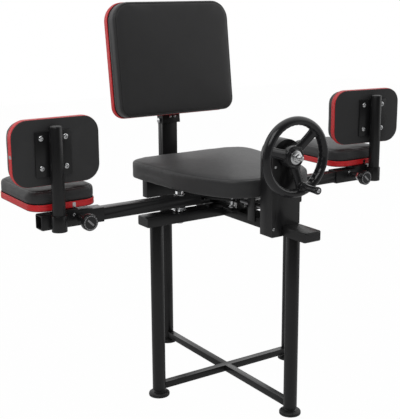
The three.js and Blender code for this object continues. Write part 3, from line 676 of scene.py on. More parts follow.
fillet_steps = 5
coil_steps = 24
wire_sides = 8
sweep = sweep_tree()
coil = coil_tree()
scatter = scatter_tree()


def points_mesh(name, places):
    """A mesh of loose points, each with the way it faces and the way its part lies."""
    mesh = bpy.data.meshes.new(name)
    mesh.from_pydata([place for place, facing, along in places], [], [])
    for label, index in (("facing", 1), ("along", 2)):
        values = mesh.attributes.new(label, "FLOAT_VECTOR", "POINT")
        for point, entry in zip(values.data, places):
            point.vector = entry[index]
    return mesh


def scattered(part, name, places, material):
    """Copies of a part's mesh at places of the form (point, facing, along)."""
    stand_in = bpy.data.objects.new("part", part)
    mesh = points_mesh(name, places)
    grown_mesh = grown(scatter, name, mesh, part=stand_in, material=finishes[material])
    bpy.data.objects.remove(stand_in)
    return grown_mesh


print("trees:", [group.name for group in bpy.data.node_groups])

# %% [markdown]
# ## Turned and lofted forms
# A grip, a knob, a screw head and a washer are all turned shapes. A profile is a list of radius and
# height, and a lathe takes it round. A row of rings can do the same for forms that aren't round,
# such as a board, a cushion or a spoke.

# %% Turned and lofted forms
lathe_steps = 48
edge_steps = 5
hex_sides = 6


def lofted(rings, closed_ring=False):
    """A closed form through rings of equal counts, closed at its ends or into a loop."""
    work = bmesh.new()
    rows = [[work.verts.new(point) for point in row] for row in rings]
    count = len(rows[0])
    pairs = list(zip(rows, rows[1:]))
    if closed_ring:
        pairs.append((rows[-1], rows[0]))
    for low, high in pairs:
        for index in range(count):
            after = (index + 1) % count
            work.faces.new((low[index], low[after], high[after], high[index]))
    if not closed_ring:
        for row in (rows[0], rows[-1]):
            middle = work.verts.new(sum((vert.co for vert in row), Vector()) / count)
            for index in range(count):
                work.faces.new((row[index], row[(index + 1) % count], middle))
    return work


def around(reach, height, steps):
    """Points round Z, whose distance from it follows the angle."""
    points = []
    for step in range(steps):
        angle = tau * step / steps
        points.append(Vector((reach(angle) * cos(angle), reach(angle) * sin(angle), height)))
    return points


def circle(radius, height, steps=lathe_steps):
    return around(lambda angle: radius, height, steps)


def polygon(corners, radius, height, steps=lathe_steps):
    """A regular polygon with as many points as a circle has, so that it can follow one."""
    part = tau / corners

    def reach(angle):
        return radius * cos(part / 2) / cos(angle % part - part / 2)

    return around(reach, height, steps)


def turned(profile, steps=lathe_steps):
    """A solid of revolution about Z, from a profile of radius and height."""
    return lofted([circle(radius, height, steps) for radius, height in profile])


def quarter(steps):
    """The sine and cosine at each step of a quarter turn."""
    angles = [right_angle * step / steps for step in range(steps + 1)]
    return [(sin(angle), cos(angle)) for angle in angles]


def rounded_profile(radius, low, high, round_low, round_high):
    """A cylinder's profile whose two edges are rounded."""
    turn = quarter(edge_steps)
    lower = [(radius - round_low * (1 - s), low + round_low * (1 - c)) for s, c in turn]
    upper = [(radius - round_high * (1 - c), high - round_high * (1 - s)) for s, c in turn]
    return lower + upper


def joined(works):
    """Several bmeshes as one."""
    whole = bmesh.new()
    for work in works:
        part = bpy.data.meshes.new("part")
        work.to_mesh(part)
        work.free()
        whole.from_mesh(part)
        bpy.data.meshes.remove(part)
    return whole


def placed(work, matrix):
    bmesh.ops.transform(work, matrix=matrix, verts=work.verts)
    return work


# %% [markdown]
# ## Outlines of boards and cushions
# Each pad has a board and a cushion of one outline. The width and the height come from the
# board's node, and the corners are arcs. The seat has an outline of its own, so it is taken from
# its board and made finer by a smooth curve through the same corners.

# %% Outlines of boards and cushions
corner_steps = 14
curve_steps = 5
upright_corner = 40 * mm
flat_corner = 40 * mm
back_top_corner = 54 * mm
back_bottom_corner = 34 * mm
back_lean = radians(7.1)
right_swivel = radians(-8)
back_board_thickness = 18 * mm
lining_thickness = 0.7 * mm


def rounded_rectangle(width, height, corner, low_corner=None):
    points = []
    for turn, (x, y) in enumerate([(1, 1), (-1, 1), (-1, -1), (1, -1)]):
        radius = low_corner if low_corner and y < 0 else corner
        centre = Vector((x * (width / 2 - radius), y * (height / 2 - radius)))
        for step in range(corner_steps + 1):
            angle = right_angle * (turn + step / corner_steps)
            points.append(centre + radius * Vector((cos(angle), sin(angle))))
    return points


def evenly_along(points, pitch):
    """Points at an even distance along a closed path, with the way the path runs."""
    places = []
    carried = 0
    count = len(points)
    for index, point in enumerate(points):
        after = points[(index + 1) % count]
        length = (after - point).length
        while carried < length:
            places.append((point.lerp(after, carried / length), (after - point).normalized()))
            carried += pitch
        carried -= length
    return places


def finer(points):
    """A closed smooth curve through the points, with more points along it."""
    result = []
    count = len(points)
    for index in range(count):
        before, start, end, after = [points[(index + shift) % count] for shift in (-1, 0, 1, 2)]
        leave = (end - before) / 2
        arrive = (after - start) / 2
        for step in range(curve_steps):
            t = step / curve_steps
            result.append(
                start * (2 * t**3 - 3 * t**2 + 1) + leave * (t**3 - 2 * t**2 + t)
                + end * (3 * t**2 - 2 * t**3) + arrive * (t**3 - t**2)
            )
    return result


def seat_outline():
    """The rim of the seat board's flat top, about the board's middle."""
    work = flattened("seat_board")
    top = max(work.faces, key=lambda face: face.calc_area() * max(face.normal.z, 0))
    middle = middle_of("seat_board")
    points = [(corner.vert.co - middle).to_2d() for corner in top.loops]
    work.free()
    return finer(points)


class Pad:
    """A board and its cushion, with one outline and one frame whose Z goes from board to face."""

    def __init__(self, name, facing, up, outline, thickness):
        self.name = name
        self.board = name + "_board"
        self.cushion = name + "_cushion"
        self.outline = outline
        self.thickness = thickness
        self.frame = frame_facing(facing, up, middle_of(self.board))
        self.base = thickness / 2 + board_gap
        self.tuck = 0
        self.band_past_board = 0
        self.half_x = max(abs(point.x) for point in outline)
        self.half_y = max(abs(point.y) for point in outline)

    def ring(self, inset, height):
        """The outline drawn in by a distance on every side."""
        share_x = 1 - inset / self.half_x
        share_y = 1 - inset / self.half_y
        return [Vector((point.x * share_x, point.y * share_y, height)) for point in self.outline]


upright_tuck = 4 * mm
upright_band_past_board = 3 * mm


def seat_pad():
    pad = Pad("seat", world_up, world_back, seat_outline(), size_of("seat_board").z)
    pad.base = lining_thickness - pad.thickness / 2
    return pad


def backrest_pad():
    facing = Matrix.Rotation(-back_lean, 3, "X") @ -world_back
    size = size_of("backrest_board")
    height = (size.z - back_board_thickness * sin(back_lean)) / cos(back_lean)
    outline = rounded_rectangle(size.x, height, back_top_corner, back_bottom_corner)
    return Pad("backrest", facing, world_up, outline, back_board_thickness)


def flat_pad(side):
    size = size_of("left_flat_board")
    outline = rounded_rectangle(size.x, size.y, flat_corner)
    return Pad(side + "_flat", world_up, world_back, outline, size.z)


def upright_pad(side):
    size = size_of("left_upright_board")
    swivel = right_swivel if side == "right" else 0
    facing = Matrix.Rotation(swivel, 3, "Z") @ world_back
    outline = rounded_rectangle(size.x, size.z, upright_corner)
    pad = Pad(side + "_upright", facing, world_up, outline, size.y)
    pad.tuck = upright_tuck
    pad.band_past_board = upright_band_past_board
    return pad


pads = [seat_pad(), backrest_pad()]
pads += [make(side) for make in (flat_pad, upright_pad) for side in sides]
for pad in pads:
    print(pad.name, len(pad.outline), "points,", round(pad.thickness / mm, 1), "mm board")

# %% [markdown]
# ## Boards with a red edge
# The back of each pad is a board under black vinyl, and a red plastic band runs round its edge. The
# vinyl is rounded over the rear corner, and the band starts beyond that round, so that only the
# edge is red. Two low ribs run along the band, as they do on edging that is pressed into a groove.
# Its section is swept along the outline. On the upright pads the band runs on past the board, and
# the cushion stands in from it. The seat's vinyl covers its board, so the seat has no band.

# %% Boards with a red edge
band_depth = 3 * mm
band_round = 0.9 * mm
rib_depth = 1.6 * mm
rib_height = 2.4 * mm
rib_share = 0.27
rib_inset = 0.35 * mm
board_inset = 0.8 * mm
core_inset = 1.6 * mm
board_round = 1.4 * mm
round_steps = 4


def board_form(pad):
    """A slab whose rear corner is rounded, and whose edge stands back for the band."""
    half = pad.thickness / 2
    rings = [
        pad.ring(board_inset + board_round * (1 - s), board_round * (1 - c) - half)
        for s, c in quarter(round_steps)
    ]
    rings += [pad.ring(core_inset, board_round - half), pad.ring(core_inset, half)]
    return lofted(rings)


def band_path(pad, inset, height):
    path = bpy.data.meshes.new(pad.name + "_band_path")
    points = pad.ring(inset, height)
    count = len(points)
    path.from_pydata(points, [(index, (index + 1) % count) for index in range(count)], [])
    return path


def band_meshes(pad):
    """The red band and its two ribs, grown along the outline's path."""
    height = pad.thickness - board_round + pad.band_past_board
    middle = (board_round + pad.band_past_board) / 2
    finish = finishes["trim"]
    name = pad.name + "_band"
    flat_band = grown(
        sweep, name, band_path(pad, band_depth / 2 + rib_inset, middle), depth=band_depth,
        height=height, round=band_round, material=finish,
    )
    ribs = [
        grown(
            sweep, name + "_rib", band_path(pad, rib_depth / 2, middle + way * rib_share * height),
            depth=rib_depth, height=rib_height, round=rib_depth / 2 - rib_inset, material=finish,
        )
        for way in (-1, 1)
    ]
    return [flat_band, *ribs]


def add_board(pad):
    board = board_form(pad)
    add_piece(pad.board + "_face", board, pad.board, "board", [pad.board], place=pad.frame)
    work = bmesh.new()
    for part in band_meshes(pad):
        work.from_mesh(part)
    return add_piece(pad.board + "_band", work, pad.board, "trim", place=pad.frame)


for pad in pads:
    if pad.name != "seat":
        print(add_board(pad).name)

# %% [markdown]
# ## Cushions
# An upholstered pad is foam under vinyl that is pulled tight over a board. Foam pushes out and
# vinyl holds it back, so the face is crowned, the sides swell between the board and the seam, and
# the seam lies just inside the edge of the face. The form is first lofted from rings that follow
# those facts. It is then remeshed into even squares and blown up by Blender's cloth with its base
# held, and a cap on how far a point moves keeps its size. The seam comes last, because the remesh
# would erase it.

# %% Cushions: the form
side_steps = 6
shoulder_steps = 6
crown_steps = 14
base_inset = 1.4 * mm
side_inset = 0.5 * mm
shoulder = 6 * mm
swell_allowance = 1 * mm
pad_crown = 5 * mm
seat_crown = 7 * mm


def cushion_rings(pad, top, crown):
    """Rings from the board up: a swelling side, a rounded shoulder and a crowned face."""
    side_top = top - crown
    rise = side_top - shoulder - pad.base
    edge = side_inset + pad.tuck
    rings = []
    for step, (s, c) in enumerate(quarter(side_steps)):
        inset = edge + (base_inset - side_inset) * (1 - s)
        rings.append(pad.ring(inset, pad.base + rise * step / side_steps))
    for s, c in quarter(shoulder_steps)[1:]:
        rings.append(pad.ring(edge + shoulder * (1 - c), side_top - shoulder * (1 - s)))
    last = rings[-1]
    for step in range(1, crown_steps):
        share = 1 - step / crown_steps
        height = side_top + crown * (1 - share**2)
        rings.append([Vector((point.x * share, point.y * share, height)) for point in last])
    return rings


# %% Cushions: the cloth
voxel_size = 4.5 * mm
cloth_frames = 20
cloth_pressure = 4
cloth_cap = 1.5 * mm
base_held = 5 * mm
smoothing_rounds = 2
taut_rounds = 4
smoothing_strength = 0.5


def modified(mesh, kind, **settings):
    """The mesh after one modifier."""
    thing = linked("worked", mesh)
    modifier = thing.modifiers.new("worked", kind)
    for name, value in settings.items():
        setattr(modifier, name, value)
    return plain_mesh(thing, mesh.name)


def smoothed(mesh, rounds):
    """The mesh with its small steps and wrinkles pulled flat, as vinyl under tension is."""
    return modified(mesh, "SMOOTH", factor=smoothing_strength, iterations=rounds)


def even_mesh(mesh, voxel, rounds):
    """Closed forms as one skin of even squares, with soft fillets where they meet."""
    return smoothed(modified(mesh, "REMESH", mode="VOXEL", voxel_size=voxel), rounds)


def blown_up(mesh, base):
    """Air pressure swells the form like cloth, with its base held and its movement capped."""
    thing = linked("cloth", mesh)
    held = thing.vertex_groups.new(name="held")
    held.add([v.index for v in mesh.vertices if v.co.z < base + base_held], 1, "REPLACE")
    cloth = thing.modifiers.new("cloth", "CLOTH")
    cloth.settings.use_pressure = True
    cloth.settings.uniform_pressure_force = cloth_pressure
    cloth.settings.vertex_group_mass = held.name
    cloth.settings.effector_weights.gravity = 0
    cloth.point_cache.frame_end = cloth_frames
    for number in range(1, cloth_frames + 1):
        scene.frame_set(number)
    graph = bpy.context.evaluated_depsgraph_get()
    targets = [v.co.copy() for v in thing.evaluated_get(graph).data.vertices]
    bpy.data.objects.remove(thing)
    scene.frame_set(1)
    steps = [target - vertex.co for vertex, target in zip(mesh.vertices, targets)]
    print(mesh.name, "moved up to", round(max(step.length for step in steps) / mm, 1), "mm")
    for vertex, step in zip(mesh.vertices, steps):
        reach = max(step.length, cloth_cap)
        vertex.co += step * (cloth_cap / reach)
    return mesh


# %% Cushions: the seam
seam_inset = 8.5 * mm
seam_depth = 0.8 * mm
seam_width = 3 * mm
seam_reach = 16 * mm
seam_sample_pitch = 1.5 * mm


def sewn(mesh, pad, top, crown):
    """Draws the seam in round the face, and keeps each point's way to it for the material."""
    edge = [spot for spot, along in evenly_along(pad.outline, seam_sample_pitch)]
    tree = KDTree(len(edge))
    for index, spot in enumerate(edge):
        tree.insert(spot.to_3d(), index)
    tree.balance()
    way = mesh.attributes.new("seam", "FLOAT", "POINT")
    lowest = top - crown - shoulder
    normals = [vertex.normal.copy() for vertex in mesh.vertices]
    for vertex, normal, entry in zip(mesh.vertices, normals, way.data):
        entry.value = seam_reach
        flat = Vector((vertex.co.x, vertex.co.y, 0))
        if vertex.co.z > lowest:
            distance = tree.find(flat)[2] - pad.tuck - seam_inset
            entry.value = max(-seam_reach, min(seam_reach, distance))
            vertex.co -= normal * seam_depth * exp(-((distance / seam_width) ** 2))
    return mesh


shape_of = {}


def cushion_mesh(pad):
    """The cushion in its pad's frame. Left and right pads are alike, so one form serves both."""
    kind = pad.name.split("_")[-1]
    if kind not in shape_of:
        crown = seat_crown if kind == "seat" else pad_crown
        top = cushion_top(pad) - swell_allowance
        mesh = mesh_from(lofted(cushion_rings(pad, top, crown)), kind + "_cushion")
        mesh = even_mesh(mesh, voxel_size, smoothing_rounds)
        mesh = smoothed(blown_up(mesh, pad.base), taut_rounds)
        mesh = modified(mesh, "SUBSURF", levels=1, render_levels=1)
        shape_of[kind] = sewn(mesh, pad, top, crown)
    return shape_of[kind].copy()


def cushion_top(pad):
    """How far the CAD cushion reaches along its pad's frame."""
    into = pad.frame.inverted()
    return max((into @ vertex.co).z for vertex in frame["nodes"][pad.cushion].data.vertices)


def add_cushion(pad):
    name = pad.cushion + "_vinyl"
    mesh = cushion_mesh(pad)
    mesh.shade_smooth()
    thing = add_piece(name, mesh, pad.cushion, "vinyl", [pad.cushion], place=pad.frame)
    return thing


for pad in pads:
    thing = add_cushion(pad)
    print(thing.name, len(thing.data.polygons), "faces")

# %% [markdown]
# ## Under the seat
# The seat's vinyl is pulled round its board and stapled below, and a thin black cloth closes the
# underside. The cloth stands for the board, which nobody can see. The staples follow the outline
# at an even distance.

# %% Under the seat
lining_inset = 9 * mm
staple_inset = 14 * mm
staple_pitch = 32 * mm
staple_width = 10 * mm
staple_wire = 0.6 * mm
staple_sides = 8


def staple():
    """A staple's crown, a short rounded wire that lies on the cloth."""
    half = staple_width / 2
    profile = rounded_profile(staple_wire, -half, half, staple_wire / 2, staple_wire / 2)
    work = placed(turned(profile, staple_sides), Matrix.Rotation(right_angle, 4, "Y"))
    return mesh_from(work, "staple")


def add_seat_underside():
    pad = pads[0]
    low = -pad.thickness / 2
    lining = lofted([pad.ring(lining_inset, low + rise) for rise in (0, lining_thickness)])
    add_piece("seat_lining", lining, "seat_board", "lining", ["seat_board"], place=pad.frame)
    turn = pad.frame.to_3x3()
    places = [
        (pad.frame @ spot, turn @ -world_up, turn @ along)
        for spot, along in evenly_along(pad.ring(staple_inset, low), staple_pitch)
    ]
    staples = scattered(staple(), "seat_staples", places, "steel")
    return add_piece("seat_staples", staples, "seat_board", "steel")


print(len(add_seat_underside().data.polygons), "faces of staples")

# %% [markdown]
# ## The handwheel
# The wheel is moulded in one piece. Its rim, three spokes and hub are lofted as separate forms and
# melted together by a voxel remesh, which leaves the soft fillets of a mould. The inner side of the
# rim has low waves for the fingers. The hub keeps its bore, and a groove runs round the washer.

# %% The handwheel
wheel_radius = 88 * mm
rim_half_width = 11 * mm
rim_half_depth = 14 * mm
rim_steps = 256
section_steps = 24
section_turns = [tau * step / section_steps for step in range(section_steps)]
wave_count = 36
wave_depth = 0.9 * mm
wheel_voxel = 1.3 * mm
wheel_smoothing = 3
hub_radius = 27.6 * mm
hub_bore = 9.6 * mm
hub_back = -27.6 * mm
hub_front = 1.4 * mm
hub_round = 2.5 * mm
hub_groove = 1.6 * mm
groove_radii = (18.5 * mm, 22.5 * mm)
spoke_angles = [radians(angle) for angle in (45, 165, 285)]
spoke_back = -11 * mm
spoke_start = 17 * mm
spoke_steps = 12
spoke_half_width = 12.2 * mm
spoke_half_depth = 7 * mm
flare_at_hub = 2.5 * mm
flare_at_rim = 4 * mm
boss_radius = 11.6 * mm
boss_front = 13.4 * mm
wheel_frame = frame_facing(-world_back, world_up, pivot_of["handwheel_spin"])
grip_frame = frame_facing(-world_back, world_up, pivot_of["grip_spin"])


def wheel_rim():
    rings = []
    for step in range(rim_steps):
        angle = tau * step / rim_steps
        wave = wave_depth * (1 - cos(wave_count * angle)) / 2
        ring = []
        for turn in section_turns:
            reach = wheel_radius + (rim_half_width - wave * max(0, -cos(turn))) * cos(turn)
            ring.append(outward(angle) * reach + world_up * (rim_half_depth * sin(turn)))
        rings.append(ring)
    return lofted(rings, closed_ring=True)


def wheel_spoke(angle):
    """A flattened bar that widens into the hub and into the rim."""
    across = outward(angle + right_angle)
    rings = []
    for step in range(spoke_steps + 1):
        share = step / spoke_steps
        centre = outward(angle) * (spoke_start + share * (wheel_radius - spoke_start))
        centre.z = spoke_back * (1 - share)
        half_width = spoke_half_width + flare_at_hub * (1 - share) ** 4 + flare_at_rim * share**5
        rings.append([
            centre + across * (half_width * cos(turn)) + world_up * (spoke_half_depth * sin(turn))
            for turn in section_turns
        ])
    return lofted(rings)


def ring_of(profile, steps=lathe_steps):
    """A solid of revolution with a hole, from a closed profile of radius and height."""
    return lofted([circle(radius, height, steps) for radius, height in profile], closed_ring=True)


def wheel_hub():
    low_groove, high_groove = groove_radii
    return ring_of([
        (hub_bore, hub_back), (hub_radius - hub_round, hub_back),
        (hub_radius, hub_back + hub_round), (hub_radius, hub_front - hub_round),
        (hub_radius - hub_round, hub_front), (high_groove, hub_front),
        (high_groove, hub_front - hub_groove), (low_groove, hub_front - hub_groove),
        (low_groove, hub_front), (hub_bore, hub_front),
    ])


def add_handwheel():
    boss_place = wheel_frame.inverted() @ grip_frame.translation
    boss_place.z = 0
    boss = turned(rounded_profile(boss_radius, -rim_half_depth / 2, boss_front, 0, hub_round))
    forms = [wheel_rim(), wheel_hub(), placed(boss, Matrix.Translation(boss_place))]
    forms += [wheel_spoke(angle) for angle in spoke_angles]
    mesh = even_mesh(mesh_from(joined(forms), "handwheel"), wheel_voxel, wheel_smoothing)
    mesh.shade_smooth()
    name = "handwheel_moulding"
    return add_piece(name, mesh, "handwheel", "gloss", ["handwheel"], place=wheel_frame)


print(len(add_handwheel().data.polygons), "faces of wheel")

# %% [markdown]
# ## The grip and its spindle
# The grip is turned, thin at its waist and full at its end, with shallow flutes along it. It spins
# on a steel spindle, and the spindle's head closes the hole in the grip's round end.

# %% The grip and its spindle
grip_half = 26 * mm
grip_bore = 4.4 * mm
head_recess = 3.3 * mm
head_hole = 6.4 * mm
flute_count = 10
flute_share = 0.05
grip_profile = [
    (10.6 * mm, -grip_half), (12 * mm, -24.6 * mm), (11.4 * mm, -22 * mm), (8.9 * mm, -17.5 * mm),
    (8.2 * mm, -10 * mm), (8 * mm, -2 * mm), (8.4 * mm, 8 * mm), (9.2 * mm, 17 * mm),
    (9.5 * mm, 22 * mm), (9 * mm, 24.6 * mm), (7.6 * mm, grip_half), (head_hole, grip_half),
    (head_hole, grip_half - head_recess), (grip_bore, grip_half - head_recess),
    (grip_bore, -grip_half),
]
spindle_radius = 3.9 * mm
spindle_past_grip = 1 * mm
screw_head_radius = 5.8 * mm
socket_radius_share = 0.52
socket_depth_share = 0.6
head_round_share = 0.75


def grip_ring(radius, height):
    """A circle whose radius dips in flutes along the grip's waist, and not at its ends."""
    waist = max(0, 1 - (height / grip_half) ** 4) if radius > head_hole else 0

    def reach(angle):
        return radius * (1 - flute_share * waist * (1 - cos(flute_count * angle)) / 2)

    return around(reach, height, 2 * lathe_steps)


def socket_head(radius, height):
    """A low round head with a socket, standing on the plane z = 0."""
    top = rounded_profile(radius, 0, height, 0, height * head_round_share)
    rings = [circle(reach, z) for reach, z in top]
    hole = radius * socket_radius_share
    rings.append(polygon(hex_sides, hole, height))
    rings.append(polygon(hex_sides, hole, height * (1 - socket_depth_share)))
    return lofted(rings)


def add_grip():
    node = "handwheel_grip"
    rings = [grip_ring(radius, height) for radius, height in grip_profile]
    grip = lofted(rings, closed_ring=True)
    add_piece("grip_moulding", grip, node, "gloss", [node], place=grip_frame)
    low = -grip_half - spindle_past_grip
    top = grip_half - head_recess
    rod = turned(rounded_profile(spindle_radius, low, top, 0, 0))
    head = socket_head(screw_head_radius, head_recess - board_gap)
    spindle = joined([rod, placed(head, Matrix.Translation((0, 0, top + board_gap)))])
    name = "grip_spindle"
    return add_piece(name, spindle, "handwheel", "chrome", place=grip_frame)


print(len(add_grip().data.polygons), "faces of spindle")

# %% [markdown]
# ## The pull knobs
# A round black knob screws onto a plunger, a lock nut holds the barrel's end, and a coil spring
# pushes the plunger in. The knob's face has a thin bright ring of short dashes and a bright bar
# that lies aslant.

# %% The pull knobs
knob_radius = 20.3 * mm
knob_face_round = 2.6 * mm
knob_back_round = 1.4 * mm
knob_head_length = 15 * mm
knob_neck_radius = 9.8 * mm
knob_reach = 32.6 * mm
flange_back = 54 * mm
flange_front = 51 * mm
flange_radius = 6.8 * mm
pin_radius = 3.9 * mm
pin_tip = 59.6 * mm
inlay_height = 0.35 * mm
ring_inner = 15.2 * mm
ring_outer = 17.6 * mm
ring_arcs = 16
arc_share = 0.78
arc_steps = 5
bar_length = 21 * mm
bar_width = 4.4 * mm
bar_corner = 1.1 * mm
bar_angle = radians(-45)
lock_nut_radius = 13 * mm
lock_nut_bore = 10.5 * mm
lock_nut_length = 6 * mm
lock_nut_back = 33 * mm
spring_wire = 0.7 * mm
spring_turns = 4.0


def inlay_ring():
    """A ring of thin dashes that stand a hair above the knob's face."""
    arcs = []
    rise = world_up * inlay_height
    for arc in range(ring_arcs):
        rings = []
        for step in range(arc_steps + 1):
            way = outward(tau / ring_arcs * (arc + arc_share * step / arc_steps))
            inner, outer = way * ring_inner, way * ring_outer
            rings.append([inner, outer, outer + rise, inner + rise])
        arcs.append(lofted(rings))
    return arcs


def slab(width, depth, height, corner):
    """A rounded plate that stands on the plane z = 0."""
    outline = rounded_rectangle(width, depth, corner)
    return lofted([[Vector((*point, z)) for point in outline] for z in (0, height)])


def knob_frame(side):
    low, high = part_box(side + "_pull_knob")
    middle = (low + high) / 2
    return frame_facing(-world_back, world_up, Vector((middle.x, low.y, middle.z)))


def add_knob(side):
    node = side + "_pull_knob"
    place = knob_frame(side)
    neck = [(knob_neck_radius, -knob_reach), (knob_neck_radius, -knob_head_length)]
    face = rounded_profile(knob_radius, -knob_head_length, 0, knob_back_round, knob_face_round)
    add_piece(node + "_head", turned(neck + face), node, "gloss", [node], place=place)
    plunger = turned([
        (pin_radius, -pin_tip), (pin_radius, -flange_back), (flange_radius, -flange_back),
        (flange_radius, -flange_front), (pin_radius, -flange_front), (pin_radius, -knob_reach),
    ])
    add_piece(node + "_plunger", plunger, node, "steel", place=place)
    bar = slab(bar_length, bar_width, inlay_height, bar_corner)
    inlay = joined([*inlay_ring(), placed(bar, Matrix.Rotation(bar_angle, 4, "Z"))])
    add_piece(node + "_inlay", inlay, node, "steel", place=place)
    ends = (0, lock_nut_length)
    hexagons = [polygon(hex_sides, lock_nut_radius, height) for height in ends]
    low, high = [circle(lock_nut_bore, height) for height in ends]
    nut = lofted([low, *hexagons, high], closed_ring=True)
    nut = placed(nut, Matrix.Translation((0, 0, -lock_nut_back)))
    add_piece(side + "_lock_nut", nut, side + "_sleeve", "chrome", place=place)


def add_spring(side):
    node = side + "_knob_spring"
    low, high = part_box(node)
    middle = middle_of(node)
    wire = grown(
        coil, node, radius=(high.x - low.x) / 2 - spring_wire, wire=spring_wire,
        turns=spring_turns, length=high.y - low.y - 2 * spring_wire, material=finishes["steel"],
    )
    wire.shade_smooth()
    start = Vector((middle.x, high.y - spring_wire, middle.z))
    place = frame_facing(-world_back, world_up, start)
    return add_piece(node + "_coil", wire, node, "steel", [node], place=place)


for side in sides:
    add_knob(side)
    print(add_spring(side).name)

# %% [markdown]
# ## The lead screw
# The thread is cut by radius: each ring of the rod is a circle whose radius rises and falls once
# for each start, and the phase of that wave moves along with the length. Two starts of 5 mm pitch
# give the 10 mm that the carriage moves in each turn.

# %% The lead screw
thread_starts = 2
thread_lead = 10 * mm
thread_depth = 1.1 * mm
thread_step = 0.6 * mm
thread_sides = 28
thread_shape = 1.6
plain_length = 38 * mm


def thread_ring(radius, height):
    cut = thread_depth if height > plain_length else 0

    def reach(angle):
        phase = thread_starts * (tau * height / thread_lead - angle)
        return radius - cut * (1 - max(-1, min(1, thread_shape * cos(phase)))) / 2

    return around(reach, height, thread_sides)


def add_lead_screw():
    node = "lead_screw"
    size = size_of(node)
    middle = middle_of(node)
    count = round(size.y / thread_step)
    rings = [thread_ring(size.z / 2, size.y * index / count) for index in range(count + 1)]
    mesh = mesh_from(lofted(rings), node)
    mesh.shade_smooth()
    place = frame_facing(world_back, world_up, middle - world_back * size.y / 2)
    return add_piece(node + "_thread", mesh, node, "steel", [node], place=place)


print(len(add_lead_screw().data.polygons), "faces of thread")

# %% [markdown]
# ## The chain and its sprockets
# The chain runs inside the column, from the handwheel's shaft down to the lead screw. Its path is
# two half circles and two straight lines. Links sit on it at an even pitch, wide and narrow in
# turn, and each is two plates on two rollers. The sprockets keep their own teeth.

# %% The chain and its sprockets
link_count = 32
chain_radius = 20.8 * mm
plate_thickness = 0.8 * mm
plate_height = 4.6 * mm
plate_end_share = 0.49
roller_radius = 1.9 * mm
roller_sides = 12
half_widths = (2.9 * mm, 2.0 * mm)
path_steps = 24


def chain_path(upper, lower):
    """The loop round both sprockets, in the plane of the chain."""
    points = []
    for centre, start in ((upper, 0), (lower, pi)):
        for step in range(path_steps + 1):
            angle = start + pi * step / path_steps
            points.append(centre + chain_radius * Vector((cos(angle), 0, sin(angle))))
    return points


def chain_link(pitch, half_width):
    """Two plates on two rollers. Its length lies on X, and Z looks along the rollers."""
    parts = []
    for way in (-1, 1):
        plate = slab(pitch + plate_height, plate_height, plate_thickness, plate_height * plate_end_share)
        height = way * half_width - plate_thickness / 2
        parts.append(placed(plate, Matrix.Translation((0, 0, height))))
        roller = turned([(roller_radius, -half_width), (roller_radius, half_width)], roller_sides)
        parts.append(placed(roller, Matrix.Translation((way * pitch / 2, 0, 0))))
    return mesh_from(joined(parts), "chain_link")


def add_chain():
    path = chain_path(middle_of("upper_sprocket"), middle_of("lower_sprocket"))
    length = sum((after - point).length for point, after in zip(path, path[1:] + path[:1]))
    pitch = length / link_count
    places = evenly_along(path, pitch)
    work = bmesh.new()
    for turn, half_width in enumerate(half_widths):
        chosen = [(spot, -world_back, along) for spot, along in places[turn::len(half_widths)]]
        work.from_mesh(scattered(chain_link(pitch, half_width), "chain", chosen, "steel"))
    return add_piece("drive_chain_links", work, "drive_chain", "steel", ["drive_chain"])


print(len(add_chain().data.polygons), "faces of chain")
for node in ("upper_sprocket", "lower_sprocket"):
    eased(node, small_round, "steel")

# %% [markdown]
# ## End caps
# Open tube ends are closed by black plastic caps. Each is a little plate with a rounded edge that
# stands on the tube's end. The posts' caps are domed. The sleeves end in a collar with a square
# hole, because the arm's end comes out there when the sleeve slides in.

# %% End caps
cap_height = 2.2 * mm
cap_corner = 3 * mm
cap_round = 1 * mm
cap_inset = 0.3 * mm
sleeve_half = 18 * mm
arm_half = 15 * mm
collar_gap = 0.6 * mm
collar_corner = 1.5 * mm
dome_height = 4 * mm
dome_rim = 1.6 * mm
post_radius = 16 * mm
post_cap_gap = 0.1 * mm


def add_cap(node, name, facing, up, centre, width, depth, hole=0):
    """A plate with a rounded edge, or with a hole a collar."""
    layers = [(0, 0), (0, cap_height - cap_round), (2 * cap_round, cap_height)]
    outlines = [
        (rounded_rectangle(width - cap_inset - less, depth - cap_inset - less, cap_corner), height)
        for less, height in layers
    ]
    if hole:
        opening = rounded_rectangle(hole, hole, collar_corner)
        outlines += [(opening, cap_height), (opening, 0)]
    rings = [[Vector((*point, height)) for point in outline] for outline, height in outlines]
    cap = lofted(rings, closed_ring=hole > 0)
    place = frame_facing(facing, up, centre)
    return add_piece(name, cap, node, "plastic", place=place)


def add_tube_cap(node, way):
    """A cap on the end of a beam that lies along one axis."""
    size = size_of(node)
    axis = max(range(3), key=lambda index: abs(way[index]))
    centre = middle_of(node) + way * size[axis] / 2
    up = world_back if axis == 2 else world_up
    width = size.y if axis == 0 else size.x
    depth = size.y if axis == 2 else size.z
    name = f"{node}_{'high' if way[axis] > 0 else 'low'}_cap"
    return add_cap(node, name, way, up, centre, width, depth)


def add_post_cap(side):
    node = side + "_post"
    pivot = pivot_of[side + "_pad_swivel"]
    place = Matrix.Translation((pivot.x, pivot.y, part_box(node)[1].z + post_cap_gap))
    dome = quarter(round_steps + 1)[1:-1]
    profile = [(post_radius, 0), (post_radius, dome_rim)]
    profile += [(post_radius * c, dome_rim + dome_height * s) for s, c in dome]
    return add_piece(node + "_cap", turned(profile), node, "plastic",
                     place=place)


def add_arm_cap(side, part, width, hole=0):
    sign = sides[side]
    node = f"{side}_{part}"
    low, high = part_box(node)
    pivot = pivot_of[side + "_arm_swing"]
    end = Vector((high.x if sign > 0 else low.x, pivot.y, pivot.z))
    return add_cap(node, node + "_cap", sign * world_right, world_up, end, width, width, hole)


